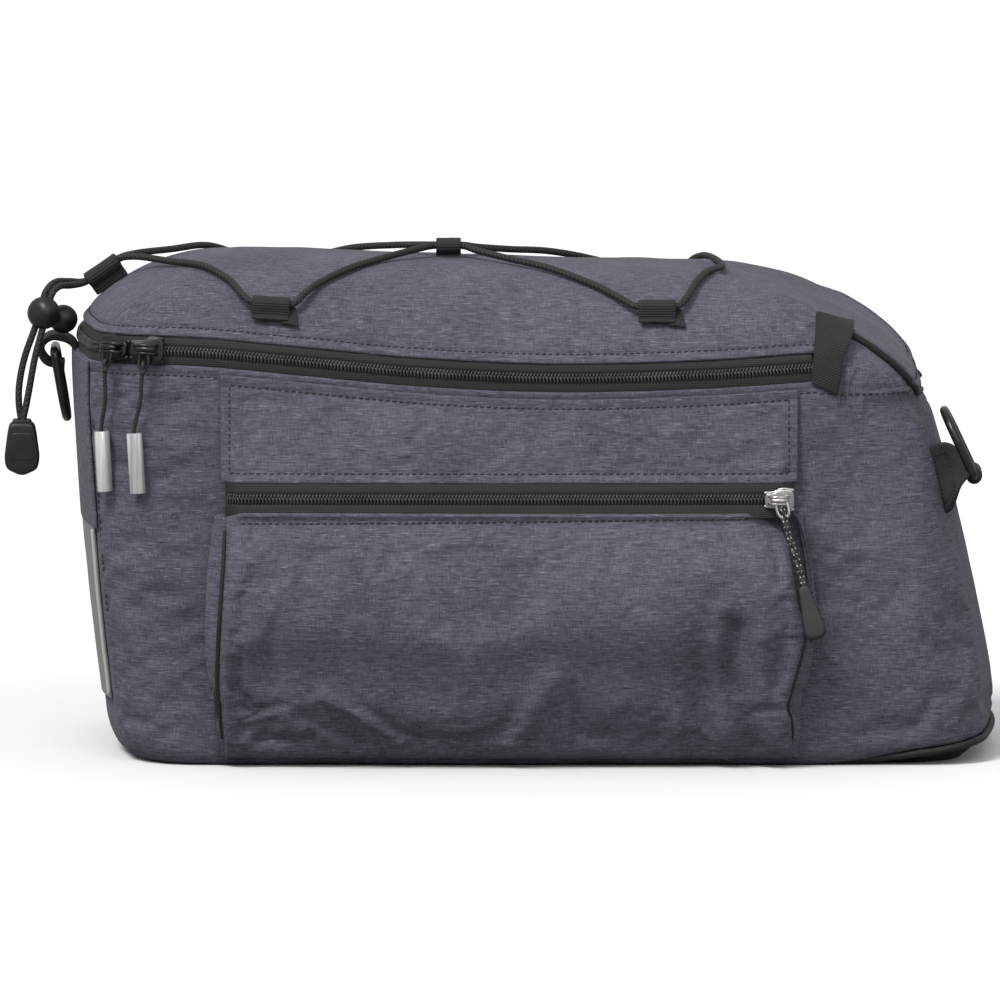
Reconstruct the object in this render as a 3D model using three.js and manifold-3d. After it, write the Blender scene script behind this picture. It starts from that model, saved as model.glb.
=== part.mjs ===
// Bicycle rack bag: a padded fabric case that stands on a carrier rack, with a zipped lid, a bulging
// zipped pocket on each side, an elastic cord laced over the lid, and a D-ring at each end.
// Millimetres, +Z up. The origin is the middle of the flat base. +X points to the slanted front end,
// -X to the upright rear end, and -Y to the near side.
import * as THREE from "three";
import { mergeVertices } from "three/addons/utils/BufferGeometryUtils.js";
import Module from "manifold-3d";

const wasm = await Module();
wasm.setup();

// Clearances
const GAP = 0.3; // between pieces that touch
const DRAPE_GAP = 0.5; // under a flat piece that lies on a curved one

// Main body
const LENGTH = 397; // from the rear face to the foot of the front
const WIDTH = 156; // across the body where its corners end
const SHELL = 3; // padded fabric wall
const REAR_TUCK = 14; // how far the foot of the rear face is drawn in
const REAR_TUCK_HEIGHT = 170;
const REAR_TUCK_POWER = 1.5;
const FRONT_LEAN = 31; // how far the front face leans back at its full height
const FRONT_HEIGHT = 152;
const FRONT_LEAN_POWER = 1.35;
const REAR_CORNER = 32;
const FRONT_CORNER = 26;
const REAR_BOW = 5;
const FRONT_BOW = 4;
const SIDE_BOW = 3;
const FILL_BOW = 3; // how far the packed body swells at half height

// Foot of the body
const FOOT_ROUND_REAR = 17;
const FOOT_ROUND_SIDE = 12;
const FOOT_ROUND_FRONT = 6;
const FOOT_LIFT = 9; // how far the base's seam climbs at the front
const FOOT_LIFT_LENGTH = 60;
const BASE_THICKNESS = 3;
const BASE_MARGIN = 9; // from the seam in to the flat of the base
const PIPING_RADIUS = 1.6;

// Lid and main zip
const CREST_REAR = 215;
const CREST_FRONT = 209;
const RIDGE_REAR = 81; // from the rear face to where the crest begins
const RIDGE_FRONT = 148.5; // from the foot of the front to where the crest ends
const LID_WALL = 3;
const LID_SIDE_ROUND = 2.4; // powers of the lid's curved sections
const LID_REAR_ROUND = 2.2;
const LID_FRONT_ROUND = 1.68;
const LID_OVERLAP = 1.5; // how far the lid stands over the body at the front crease
const ZIP_HEIGHT = 179.5; // middle of the main zip at the rear
const ZIP_SAG = 11.5;
const ZIP_OPENING = 14; // tape that shows between the two fabric edges
const ZIP_END = 77; // from the foot of the front back to the end of the main zip
const CREASE_PEAK = 186; // top of the seam where the body climbs to the lid's front
const FRONT_SEAM = 157.5; // seam between the front face and the lid
const TAPE_THICKNESS = 1;
const TAPE_RECESS = 1;
const COIL_WIDTH = 5.8;
const COIL_HEIGHT = 1.5;

// Side pockets
const POCKET_LENGTH = 247; // of the front panel
const POCKET_REAR = 63.5; // from the rear face to the pocket's front panel
const POCKET_GUSSET = 6; // how much wider the pocket is where it is sewn on
const POCKET_FOOT = 8;
const POCKET_DEPTH = 22;
const POCKET_BULGE = 4; // more at the middle of the front panel than at its seams
const POCKET_WALL = 1.5;
const POCKET_ZIP_HEIGHT = 117;
const POCKET_ZIP_OPENING = 15;
const POCKET_TOP_GAP = 2.5; // from the upper panel to the edge of the body's fabric
const POCKET_TAPE_MARGIN = 1.5;
const POCKET_SLIDER_BACK = 6; // from the end of the pocket's tape to the slider

// Rear face
const FLAP_THICKNESS = 1.5;
const FLAP_FOOT = 101;
const FLAP_STATION = 4; // where the rear flap ends, in steps round the outline
const REFLECTOR_THICKNESS = 1;
const REFLECTOR_FOOT = 26;
const REFLECTOR_STATION = 3.2;

// Webbing and D-rings
const WEBBING = 1.2; // one layer
const RING_WIRE = 2; // radius
const RING_INSIDE = 25;
const RING_REACH = 30; // from the middle of the bar to the middle of the bow
const RING_BEND = 3;
const RING_TAB_WIDTH = 21;
const REAR_BAR_OUT = 9.5; // from the rear face to the ring's bar
const REAR_BAR_HEIGHT = 172;
const REAR_TAB_TAIL = 10;
const FRONT_BAR_OUT = 17.5;
const FRONT_RING_LEAN = 25; // degrees back from upright
const FRONT_BAR_HEIGHT = 123;
const FRONT_BAR_SIDE = 46; // from the middle of the bag to the middle of the front ring
const FRONT_TAB_HEIGHT = 27;
const FRONT_TAB_STATION = 36.3;
const END_TAB_FOOT = 10; // width of the tab over the zip's end, at its foot
const END_TAB_TOP = 13.5;
const END_TAB_HEIGHT = 25;
const END_TAB_DROP = 4.5; // how far its front edge stands below its rear edge
const END_TAB_LEAN = 4; // degrees

// Elastic cord and its hardware
const CORD_RADIUS = 1.5;
const CORD_PITCH = 3.4; // between two strands side by side
const LOOP_EASE = 1.6; // between a strand and its loop
const LOOP_WIDTH = 15;
const LOOP_TAIL = 6.5;
const SIDE_LOOPS = {
  rear: { x: -114, z: 196 },
  front: { x: 52, z: 194 },
};
const CENTRE_LOOP_SHARE = 0.476; // where the centre loop stands, as a share of the crest
const REAR_LOOP_LEVEL = 1.42;
const CENTRE_LOOP_WIDTH = 9.5;
const CENTRE_LOOP_LIFT = 4.9;
const REAR_LOOP_LIFT = 8;
const LOCK_BALL = 6.6; // radius of the larger ball
const LOCK_BUTTON = 6.2;
const LOCK_TRAVEL = 2;
const LOCK_NECK = 2.3; // radius
const LOCK_SOCKET = 2.9; // from the ball's middle to the floor of the neck's socket
const CORD_BORE = 2.1; // radius of a hole for one strand
const STOPPER_BORE = 12; // depth
const STOPPER_HEIGHT = 22;
const STOPPER_TOP = 11.5;
const STOPPER_FOOT = 15;
const STOPPER_THICKNESS = 8.5;

// Zip sliders and pulls
const SLIDER_LENGTH = 11.5;
const SLIDER_WIDTH = 8;
const SLIDER_PLATE = 1.6;
const SLIDER_BRIDGE = 2.6;
const SLIDER_REAR = 18; // from the rear face to the rear slider
const SLIDER_PITCH = 13.5;
const PULL_CORD_RADIUS = 1.2;
const PULL_CORD_LENGTH = 36;
const PULL_DRIFT = 0.6; // how far a pull hangs back from its slider, in steps round the outline
const TUBE_RADIUS = 3.4;
const TUBE_WALL = 0.7;
const TUBE_LENGTH = 26;
const TUBE_GRIP = 5; // of cord inside the tube
const POCKET_PULL_LENGTH = 36;
const POCKET_PULL_LEAN = 15; // degrees from straight down
const GRIP_LENGTH = 20;
const GRIP_WIDTH = 8.5;
const GRIP_THICKNESS = 4;

// The outline of the body is walked in steps from the middle of the rear face (0), by the near side,
// to the middle of the front face (HALF), and back by the far side.
const END_STEPS = 3;
const CORNER_STEPS = 6;
const SIDE_STEPS = 22;
const SIDE_START = END_STEPS + CORNER_STEPS;
const SIDE_STOP = SIDE_START + SIDE_STEPS;
const FRONT_START = SIDE_STOP + CORNER_STEPS;
const HALF = FRONT_START + END_STEPS;

// Heights of the main zip: share of the body's length from the rear, and share of ZIP_SAG below ZIP_HEIGHT.
const ZIP_LINE = [
  { along: 0, sag: 0 },
  { along: 0.12, sag: 0.02 },
  { along: 0.25, sag: 0.4 },
  { along: 0.37, sag: 0.78 },
  { along: 0.52, sag: 1 },
  { along: 0.68, sag: 0.88 },
  { along: 0.82, sag: 0.6 },
  { along: 1, sag: 0.5 },
];

// Side view of the pocket: share of its height, and share of POCKET_DEPTH.
const POCKET_PROFILE = [
  { up: 0, out: 0.34 },
  { up: 0.12, out: 0.62 },
  { up: 0.35, out: 0.9 },
  { up: 0.58, out: 1 },
  { up: 0.8, out: 0.8 },
  { up: 1, out: 0.46 },
];

// Folds of the pocket's front panel: place and size as shares of its length and height, depth as a
// share of POCKET_DEPTH, and lean as the share of its length by which the fold's top leads its foot.
const POCKET_FOLDS = [
  { along: 0.84, up: 0.22, wide: 0.035, tall: 0.26, depth: -0.3, lean: -0.03 },
  { along: 0.9, up: 0.2, wide: 0.03, tall: 0.24, depth: 0.16, lean: -0.02 },
  { along: 0.08, up: 0.3, wide: 0.03, tall: 0.2, depth: -0.16, lean: 0.05 },
  { along: 0.3, up: 0.06, wide: 0.09, tall: 0.07, depth: -0.14, lean: 0.1 },
  { along: 0.6, up: 0.1, wide: 0.08, tall: 0.08, depth: -0.12, lean: -0.1 },
];

// Route of the elastic cord over the lid, from the rear loop by the near side to the middle of the
// front turn. The far half is its mirror image. Chosen by hand.
const CORD_ROUTE = [
  [-187.1, -1.7, 206.5],
  [-180, -1.8, 211.4],
  [-174, -5.8, 212.7],
  [-158, -25, 212.7],
  [-143, -43, 212.5],
  [-132, -56.5, 208],
  [-127, -67, 203.6],
  [-122.6, -72.3, 200.3],
  [-113.9, -73, 199.6],
  [-104.4, -72.7, 199.4],
  [-99.8, -67, 203],
  [-94, -57.5, 206.4],
  [-80, -41.5, 211.5],
  [-62, -21.5, 214.8],
  [-49.5, -7, 216.5],
  [-44, -1.8, 217],
  [-31.5, -1.8, 216.9],
  [-26, -7, 215.6],
  [-12, -19.2, 213.3],
  [6, -35.5, 210.7],
  [27, -55, 204.7],
  [38.6, -66, 199.7],
  [43, -69.6, 197.8],
  [52, -70.1, 197.6],
  [61, -69.2, 198],
  [64.6, -64, 200.8],
  [68.5, -51, 205.8],
  [73.5, -34, 209],
  [78.5, -16, 208.8],
  [80.5, 0, 208.2],
];

// Routes of the two free ends, from the rear loop through the cord lock into the stopper. Chosen by
// hand.
const TAIL_ROUTES = {
  near: [
    [-187.8, -1.7, 206],
    [-194.8, -1.8, 201.2],
    [-201.2, -7, 200.3],
    [-205.6, -13.6, 200.6],
    [-208.9, -18.8, 198],
    [-211.2, -20, 189.4],
    [-213.6, -21.2, 180.8],
    [-216.4, -21.8, 170],
    [-218.6, -21.9, 158],
    [-220.2, -21.8, 149.5],
    [-221.6, -21.7, 143],
    [-222, -21.7, 138],
    [-222, -21.7, 133],
  ],
  far: [
    [-187.8, 1.7, 206],
    [-194.8, 1.7, 201.2],
    [-202.2, -3, 201.6],
    [-207.6, -10, 202],
    [-211.7, -16.8, 198.4],
    [-214, -18, 189.8],
    [-217.0, -19.2, 181.2],
    [-220.9, -18.9, 170],
    [-223.2, -18.5, 158],
    [-223.3, -18.3, 149.5],
    [-222.4, -18.3, 143],
    [-222, -18.3, 138],
    [-222, -18.3, 133],
  ],
};
const LOCK_AT = [-212.6, -19, 189.6];
const LOCK_AXIS = [0.54, 0.8, -0.257]; // from the larger ball to the button
const LOCK_PASS = [-0.26, -0.13, -0.96]; // the way that the cords run through it
const STOPPER_AT = [-222, -20, 142.5]; // top of the stopper

const REAR = -LENGTH / 2;
const FRONT = LENGTH / 2;
const UP = new THREE.Vector3(0, 0, 1);
const lerp = THREE.MathUtils.lerp;
const clamp = THREE.MathUtils.clamp;
const vec = (x, y, z) => new THREE.Vector3(x, y, z);

// Numbers from start to stop in equal steps, both ends included.
const spread = (start, stop, steps) => Array.from({ length: steps + 1 }, (_, i) => lerp(start, stop, i / steps));

const smooth = (share) => THREE.MathUtils.smoothstep(share, 0, 1);

// A smooth function through the rows of a table, from column `from` to column `to`.
function curveThrough(rows, from, to) {
  const slope = (i) => {
    const a = rows[Math.max(i - 1, 0)];
    const b = rows[Math.min(i + 1, rows.length - 1)];
    return (b[to] - a[to]) / (b[from] - a[from]);
  };
  return (value) => {
    const at = clamp(value, rows[0][from], rows.at(-1)[from]);
    const i = Math.max(0, rows.findLastIndex((row, n) => row[from] <= at && n < rows.length - 1));
    const width = rows[i + 1][from] - rows[i][from];
    const t = (at - rows[i][from]) / width;
    const t2 = t * t;
    const t3 = t2 * t;
    return (
      (2 * t3 - 3 * t2 + 1) * rows[i][to] +
      (t3 - 2 * t2 + t) * width * slope(i) +
      (3 * t2 - 2 * t3) * rows[i + 1][to] +
      (t3 - t2) * width * slope(i + 1)
    );
  };
}

const zipSag = curveThrough(ZIP_LINE, "along", "sag");
const pocketOut = curveThrough(POCKET_PROFILE, "up", "out");

// Outline of the body at one height

const rearX = (z) => REAR + REAR_TUCK * clamp(1 - z / REAR_TUCK_HEIGHT, 0, 1) ** REAR_TUCK_POWER;
const frontX = (z) => FRONT - FRONT_LEAN * (z / FRONT_HEIGHT) ** FRONT_LEAN_POWER;
const halfWidth = (z) => WIDTH / 2 + FILL_BOW * Math.sin(Math.PI * clamp(z / ZIP_HEIGHT, 0, 1));
const stepOf = (k) => {
  const turn = ((k % (2 * HALF)) + 2 * HALF) % (2 * HALF);
  return turn > HALF ? { j: 2 * HALF - turn, side: 1 } : { j: turn, side: -1 };
};

function footRound(j) {
  const rear = smooth((SIDE_START - j) / CORNER_STEPS);
  const front = smooth((j - SIDE_STOP) / CORNER_STEPS);
  return FOOT_ROUND_SIDE + (FOOT_ROUND_REAR - FOOT_ROUND_SIDE) * rear + (FOOT_ROUND_FRONT - FOOT_ROUND_SIDE) * front;
}

function footInset(j, z) {
  const radius = footRound(j);
  const below = clamp(1 - z / radius, 0, 1);
  return radius * (1 - Math.sqrt(1 - below * below));
}

function outlineAt(k, z, inset = 0) {
  const { j, side } = stepOf(k);
  const rear = rearX(z) + inset;
  const front = frontX(z) - inset;
  const half = halfWidth(z) - inset;
  const rearFlat = half - REAR_CORNER;
  const frontFlat = half - FRONT_CORNER;
  const quarter = Math.PI / 2;
  let x;
  let y;
  if (j <= END_STEPS) {
    const share = j / END_STEPS;
    x = rear + REAR_BOW * share * share;
    y = rearFlat * share;
  } else if (j <= SIDE_START) {
    const angle = (quarter * (j - END_STEPS)) / CORNER_STEPS;
    x = rear + REAR_BOW + REAR_CORNER * (1 - Math.cos(angle));
    y = rearFlat + REAR_CORNER * Math.sin(angle);
  } else if (j <= SIDE_STOP) {
    const share = (j - SIDE_START) / SIDE_STEPS;
    x = lerp(rear + REAR_BOW + REAR_CORNER, front - FRONT_BOW - FRONT_CORNER, share);
    y = half + SIDE_BOW * (1 - (2 * share - 1) ** 2);
  } else if (j <= FRONT_START) {
    const angle = (quarter * (j - SIDE_STOP)) / CORNER_STEPS;
    x = front - FRONT_BOW - FRONT_CORNER * (1 - Math.sin(angle));
    y = frontFlat + FRONT_CORNER * Math.cos(angle);
  } else {
    const share = (HALF - j) / END_STEPS;
    x = front - FRONT_BOW * share * share;
    y = frontFlat * share;
  }
  return vec(x, side * y, z);
}

// The step along the side at which the body has a given x at a given height.
function sideStepAt(x, z) {
  const rear = rearX(z) + REAR_BOW + REAR_CORNER;
  const front = frontX(z) - FRONT_BOW - FRONT_CORNER;
  return SIDE_START + (SIDE_STEPS * (x - rear)) / (front - rear);
}

// How far the body's side stands from the middle plane.
const sideOut = (x, z) => {
  const j = sideStepAt(x, z);
  return -outlineAt(clamp(j, SIDE_START, SIDE_STOP), z, footInset(j, z)).y;
};

// Seams round the body

const zipMiddle = (x) => ZIP_HEIGHT - ZIP_SAG * zipSag((x - REAR) / LENGTH);
const zipEndX = FRONT - ZIP_END;
const ZIP_STOP = Math.round(sideStepAt(zipEndX, ZIP_HEIGHT - ZIP_SAG));

// The seam where the wall meets the base climbs towards the front.
function footSeam(k) {
  const x = outlineAt(k, BASE_THICKNESS).x;
  const climb = clamp((x - (FRONT - FOOT_LIFT_LENGTH)) / FOOT_LIFT_LENGTH, 0, 1);
  return PIPING_RADIUS + GAP + FOOT_LIFT * climb ** 1.5;
}

const wallFoot = (k) => footSeam(k) + PIPING_RADIUS + GAP;

// Height of the body's upper edge along the zip, and further on along the front seam.
function bodyEdge(k) {
  const { j } = stepOf(k);
  const along = (height) => outlineAt(Math.min(j, ZIP_STOP), height).x;
  const beside = zipMiddle(along(ZIP_HEIGHT - ZIP_SAG)) - ZIP_OPENING / 2;
  if (j <= ZIP_STOP) return beside;
  const climbed = smooth((j - ZIP_STOP) / 2);
  const dropped = smooth((j - SIDE_STOP - 1) / (FRONT_START - SIDE_STOP));
  return lerp(lerp(beside, CREASE_PEAK, climbed), FRONT_SEAM, dropped);
}

const shoulder = (k) => {
  const { j } = stepOf(k);
  const beside = zipMiddle(outlineAt(Math.min(j, SIDE_STOP), FRONT_HEIGHT).x) - ZIP_OPENING / 2;
  return lerp(beside, FRONT_SEAM, smooth((j - ZIP_STOP) / (FRONT_START - ZIP_STOP)));
};

function lidEdge(k) {
  const { j } = stepOf(k);
  const opened = 1 - smooth((j - ZIP_STOP) / 1.5);
  return bodyEdge(k) + lerp(3 * GAP, ZIP_OPENING, opened);
}

// The skin of the closed bag. Level 0 is the foot seam, level 1 the shoulder and level 2 the crest.

const ridgeX = { rear: REAR + RIDGE_REAR, front: FRONT - RIDGE_FRONT };

function ridgePoint(k) {
  const { j } = stepOf(k);
  const share = clamp((j - SIDE_START) / SIDE_STEPS, 0, 1);
  return vec(lerp(ridgeX.rear, ridgeX.front, share), 0, lerp(CREST_REAR, CREST_FRONT, share));
}

function lidRound(k) {
  const { j } = stepOf(k);
  const rear = smooth((SIDE_START - j) / CORNER_STEPS);
  const front = smooth((j - SIDE_STOP + 4) / (CORNER_STEPS + 4));
  return LID_SIDE_ROUND + (LID_REAR_ROUND - LID_SIDE_ROUND) * rear + (LID_FRONT_ROUND - LID_SIDE_ROUND) * front;
}

function skin(k, level) {
  const { j } = stepOf(k);
  if (level <= 1) {
    const z = lerp(wallFoot(k), shoulder(k), level);
    return outlineAt(k, z, footInset(j, z));
  }
  const angle = ((level - 1) * Math.PI) / 2;
  const power = 2 / lidRound(k);
  const out = level >= 2 ? 0 : Math.cos(angle) ** power;
  const rise = Math.sin(angle) ** power;
  const from = outlineAt(k, shoulder(k));
  const to = ridgePoint(k);
  return vec(lerp(to.x, from.x, out), from.y * out, lerp(from.z, to.z, rise));
}

function levelAt(k, z) {
  const start = shoulder(k);
  if (z <= start) return (z - wallFoot(k)) / (start - wallFoot(k));
  const rise = clamp((z - start) / (ridgePoint(k).z - start), 0, 1);
  return 1 + Math.asin(rise ** (lidRound(k) / 2)) / (Math.PI / 2);
}

function skinNormal(k, level) {
  const aside = 0.4;
  const above = 0.01;
  const across = skin(k + aside, level).sub(skin(k - aside, level));
  const upward = skin(k, Math.min(level + above, 1.97)).sub(skin(k, Math.min(level, 1.97) - above));
  return across.cross(upward).normalize();
}

// The step on the near side at which the skin has a given x at a given height.
function skinStepAt(x, z) {
  let [low, high] = [0, HALF];
  for (let i = 0; i < 40; i++) {
    const k = (low + high) / 2;
    if (skin(k, levelAt(k, z)).x < x) low = k;
    else high = k;
  }
  return low;
}

// A point at a distance outside the skin.
const offSkin = (k, level, out) => skin(k, level).addScaledVector(skinNormal(k, level), out);

// Solids from points

function geometryOf(points, triangles) {
  let volume = 0;
  for (const [a, b, c] of triangles) volume += points[a].dot(points[b].clone().cross(points[c]));
  const facing = volume < 0 ? ([a, b, c]) => [a, c, b] : (t) => t;
  const geometry = new THREE.BufferGeometry();
  geometry.setAttribute("position", new THREE.Float32BufferAttribute(points.flatMap((p) => [p.x, p.y, p.z]), 3));
  geometry.setIndex(triangles.flatMap(facing));
  return geometry;
}

// A solid through closed rings of as many points each. `ends` is "capped", "joined" (the last ring to the
// first) or "bare" (each end ring lies folded on a line and closes itself).
function loft(rings, ends = "capped") {
  const count = rings[0].length;
  const points = rings.flat();
  const triangles = [];
  const last = ends === "joined" ? rings.length : rings.length - 1;
  for (let r = 0; r < last; r++) {
    const next = (r + 1) % rings.length;
    for (let i = 0; i < count; i++) {
      const j = (i + 1) % count;
      const [a, b, c, d] = [r * count + i, r * count + j, next * count + j, next * count + i];
      triangles.push([a, b, c], [a, c, d]);
    }
  }
  if (ends === "capped") {
    for (const [start, turn] of [[0, 1], [(rings.length - 1) * count, -1]]) {
      for (let i = 1; i < count - 1; i++) {
        const face = [start, start + i + 1, start + i];
        triangles.push(turn > 0 ? face : face.toReversed());
      }
    }
  }
  return geometryOf(points, triangles);
}

// A plate between two grids of points, each a list of rows.
function plate(outer, inner) {
  const rings = outer.map((row, r) => [...row, ...inner[r].toReversed()]);
  return cappedStrips(rings, outer[0].length);
}

// Rings whose first `width` points are the outer face and the others, turned round, the inner face.
function cappedStrips(rings, width) {
  const count = rings[0].length;
  const points = rings.flat();
  const triangles = [];
  for (let r = 0; r < rings.length - 1; r++) {
    for (let i = 0; i < count; i++) {
      const j = (i + 1) % count;
      const [a, b, c, d] = [r * count + i, r * count + j, (r + 1) * count + j, (r + 1) * count + i];
      triangles.push([a, b, c], [a, c, d]);
    }
  }
  for (const [start, turn] of [[0, 1], [(rings.length - 1) * count, -1]]) {
    for (let i = 0; i < width - 1; i++) {
      const quad = [start + i, start + i + 1, start + count - 2 - i, start + count - 1 - i];
      const faces = [[quad[0], quad[2], quad[1]], [quad[0], quad[3], quad[2]]];
      for (const face of faces) triangles.push(turn > 0 ? face : face.toReversed());
    }
  }
  return geometryOf(points, triangles);
}

// A round wire along a closed flat loop of points, where `facing` is at right angles to the loop.
function wireLoop(points, facing, radius, sides) {
  const rings = points.map((point, i) => {
    const before = points.at(i - 1);
    const after = points[(i + 1) % points.length];
    const into = point.clone().sub(before).normalize();
    const onward = after.clone().sub(point).normalize();
    const along = into.clone().add(onward).normalize();
    const aside = along.clone().cross(facing);
    const mitre = 1 / Math.max(0.5, along.dot(onward));
    return spread(0, 2 * Math.PI, sides)
      .slice(0, -1)
      .map((a) =>
        point
          .clone()
          .addScaledVector(aside, radius * mitre * Math.cos(a))
          .addScaledVector(facing, radius * Math.sin(a)),
      );
  });
  return loft(rings, "joined");
}

// Flat outlines drawn in a plane, then pushed along its normal, centred on it.
function extruded(shape, depth, curveSegments = 8) {
  const geometry = new THREE.ExtrudeGeometry(shape, { depth, bevelEnabled: false, curveSegments });
  return geometry.translate(0, 0, -depth / 2);
}

function tubeAlong(points, radius, steps, sides = 8) {
  const path = new THREE.CatmullRomCurve3(points, false, "centripetal");
  const circle = new THREE.Shape(
    spread(0, 2 * Math.PI, sides)
      .slice(0, -1)
      .map((a) => new THREE.Vector2(radius * Math.cos(a), radius * Math.sin(a))),
  );
  return new THREE.ExtrudeGeometry(circle, { steps, extrudePath: path });
}

// Joins and cuts

function solidOf(geometry) {
  const bare = geometry.clone();
  for (const name of Object.keys(bare.attributes)) if (name !== "position") bare.deleteAttribute(name);
  const merged = mergeVertices(bare, 1e-4);
  return new wasm.Manifold(
    new wasm.Mesh({
      numProp: 3,
      vertProperties: merged.attributes.position.array,
      triVerts: new Uint32Array(merged.index.array),
    }),
  );
}

function geometryFrom(solid) {
  const mesh = solid.getMesh();
  const geometry = new THREE.BufferGeometry();
  geometry.setAttribute("position", new THREE.BufferAttribute(mesh.vertProperties, mesh.numProp));
  geometry.setIndex(new THREE.BufferAttribute(mesh.triVerts, 1));
  return geometry;
}

const joined = (...parts) => geometryFrom(parts.map(solidOf).reduce((a, b) => a.add(b)));
const cut = (part, ...tools) => geometryFrom(tools.map(solidOf).reduce((a, b) => a.subtract(b), solidOf(part)));

// Turns and moves a geometry so that its x, y and z axes lie along three directions at a place.
function placed(geometry, xAxis, yAxis, zAxis, at) {
  return geometry.applyMatrix4(new THREE.Matrix4().makeBasis(xAxis, yAxis, zAxis).setPosition(at));
}

// Body

const ALL_STEPS = spread(0, 2 * HALF, 2 * HALF).slice(0, -1);
const WALL_ROWS = [0, 0.03, 0.075, 0.16, 0.3, 0.45, 0.6, 0.75, 0.88, 1];

function bodyShell() {
  const ring = (row, out) =>
    ALL_STEPS.map((k) => {
      const edge = levelAt(k, bodyEdge(k));
      return offSkin(k, edge * row, out);
    });
  return loft([...WALL_ROWS.map((row) => ring(row, 0)), ...WALL_ROWS.toReversed().map((row) => ring(row, -SHELL))], "joined");
}

function basePanel() {
  const seam = PIPING_RADIUS + 2 * GAP;
  const ring = (inset, height) => ALL_STEPS.map((k) => outlineAt(k, height(k), footInset(stepOf(k).j, footSeam(k)) + inset));
  const flat = () => 0;
  const top = () => BASE_THICKNESS;
  const edge = (share) => (k) => lerp(footSeam(k), PIPING_RADIUS, 1 - share) + (share ? 0 : -GAP);
  return loft([
    ring(seam + BASE_MARGIN, flat),
    ring(seam, (k) => Math.max(GAP, edge(1)(k) - PIPING_RADIUS)),
    ring(seam, (k) => edge(1)(k) + PIPING_RADIUS / 2),
    ring(seam + BASE_MARGIN / 2, (k) => lerp(top(), edge(1)(k) + PIPING_RADIUS / 2, 0.5)),
    ring(seam + BASE_MARGIN, top),
  ]);
}

function basePiping() {
  const sides = 6;
  const rings = ALL_STEPS.map((k) => {
    const { j } = stepOf(k);
    const z = footSeam(k);
    const inset = footInset(j, z);
    const middle = outlineAt(k, z, inset);
    const out = outlineAt(k, z, inset - 1).sub(middle).normalize();
    return spread(0, 2 * Math.PI, sides)
      .slice(0, -1)
      .map((a) =>
        middle
          .clone()
          .addScaledVector(out, PIPING_RADIUS * Math.cos(a) - GAP)
          .addScaledVector(UP, PIPING_RADIUS * Math.sin(a)),
      );
  });
  return loft(rings, "joined");
}

function rearPanel(station, low, high, thickness, rows) {
  const steps = [-station, ...ALL_STEPS.filter((k) => k < station).toReversed().map((k) => -k), ...ALL_STEPS.filter((k) => k > 0 && k < station), station];
  const grid = (out) => spread(0, 1, rows).map((share) => steps.map((k) => offSkin(k, levelAt(k, lerp(low, high(k), share)), out)));
  return plate(grid(GAP + thickness), grid(GAP));
}

// Lid and main zip

const LID_ROWS = [0, 0.08, 0.2, 0.36, 0.52, 0.68, 0.84, 1];

function lidShell() {
  const ring = (row, out) =>
    ALL_STEPS.map((k) => {
      const { j } = stepOf(k);
      const edge = levelAt(k, lidEdge(k));
      const level = lerp(edge, 2, row);
      const raised = LID_OVERLAP * smooth((j - ZIP_STOP) / 2) * smooth((FRONT_START - j) / 2 + 0.5) * (1 - row);
      if (row === 1) return skin(k, 2).addScaledVector(UP, out);
      return offSkin(k, level, out + raised);
    });
  return loft([...LID_ROWS.toReversed().map((row) => ring(row, -LID_WALL)), ...LID_ROWS.map((row) => ring(row, 0))], "bare");
}

const ZIP_STEPS = spread(-ZIP_STOP, ZIP_STOP, 2 * ZIP_STOP);

const zipPoint = (k, share, out) => {
  const low = bodyEdge(k) + GAP;
  const high = lidEdge(k) - GAP;
  return offSkin(k, levelAt(k, lerp(low, high, share)), out);
};

function mainTape() {
  const grid = (out) => spread(0, 1, 3).map((share) => ZIP_STEPS.map((k) => zipPoint(k, share, out)));
  return plate(grid(-TAPE_RECESS), grid(-TAPE_RECESS - TAPE_THICKNESS));
}

function mainCoil() {
  const half = COIL_WIDTH / 2 / ZIP_OPENING;
  const floor = GAP - TAPE_RECESS;
  const corners = [
    [-half, floor],
    [half, floor],
    [half * 0.8, floor + COIL_HEIGHT * 0.7],
    [0, floor + COIL_HEIGHT],
    [-half * 0.8, floor + COIL_HEIGHT * 0.7],
  ];
  return loft(ZIP_STEPS.map((k) => corners.map(([share, out]) => zipPoint(k, 0.5 + share, out))));
}

// Side pockets, near side

const pocketStart = REAR + POCKET_REAR;
const pocketMiddle = pocketStart + POCKET_LENGTH / 2;
const pocketZip = { low: POCKET_ZIP_HEIGHT - POCKET_ZIP_OPENING / 2, high: POCKET_ZIP_HEIGHT + POCKET_ZIP_OPENING / 2 };
const panelTop = (x) => zipMiddle(x) - ZIP_OPENING / 2 - POCKET_TOP_GAP;

function foldAt(along, up) {
  return POCKET_FOLDS.reduce((sum, fold) => {
    const across = (along - fold.along - fold.lean * (up - fold.up)) / fold.wide;
    const above = (up - fold.up) / fold.tall;
    return sum + fold.depth * Math.exp(-across * across - above * above);
  }, 0);
}

// Depth of the pocket in front of the body's side, with x as a share of the pocket's length.
function pocketDepth(along, z) {
  const span = 1 - (2 * along - 1) ** 2;
  if (z >= pocketZip.low) {
    const share = clamp((z - pocketZip.low) / (panelTop(pocketMiddle) - pocketZip.low), 0, 1);
    const sides = Math.min(1, 0.35 + 6 * span);
    return POCKET_DEPTH * pocketOut(1) * (1 - share) * sides + POCKET_WALL;
  }
  const up = (z - POCKET_FOOT) / (pocketZip.low - POCKET_FOOT);
  const belly = POCKET_BULGE * Math.sqrt(span) * Math.sin(Math.PI * clamp(up, 0, 1));
  return POCKET_DEPTH * (pocketOut(up) + foldAt(along, up)) + belly;
}

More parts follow.
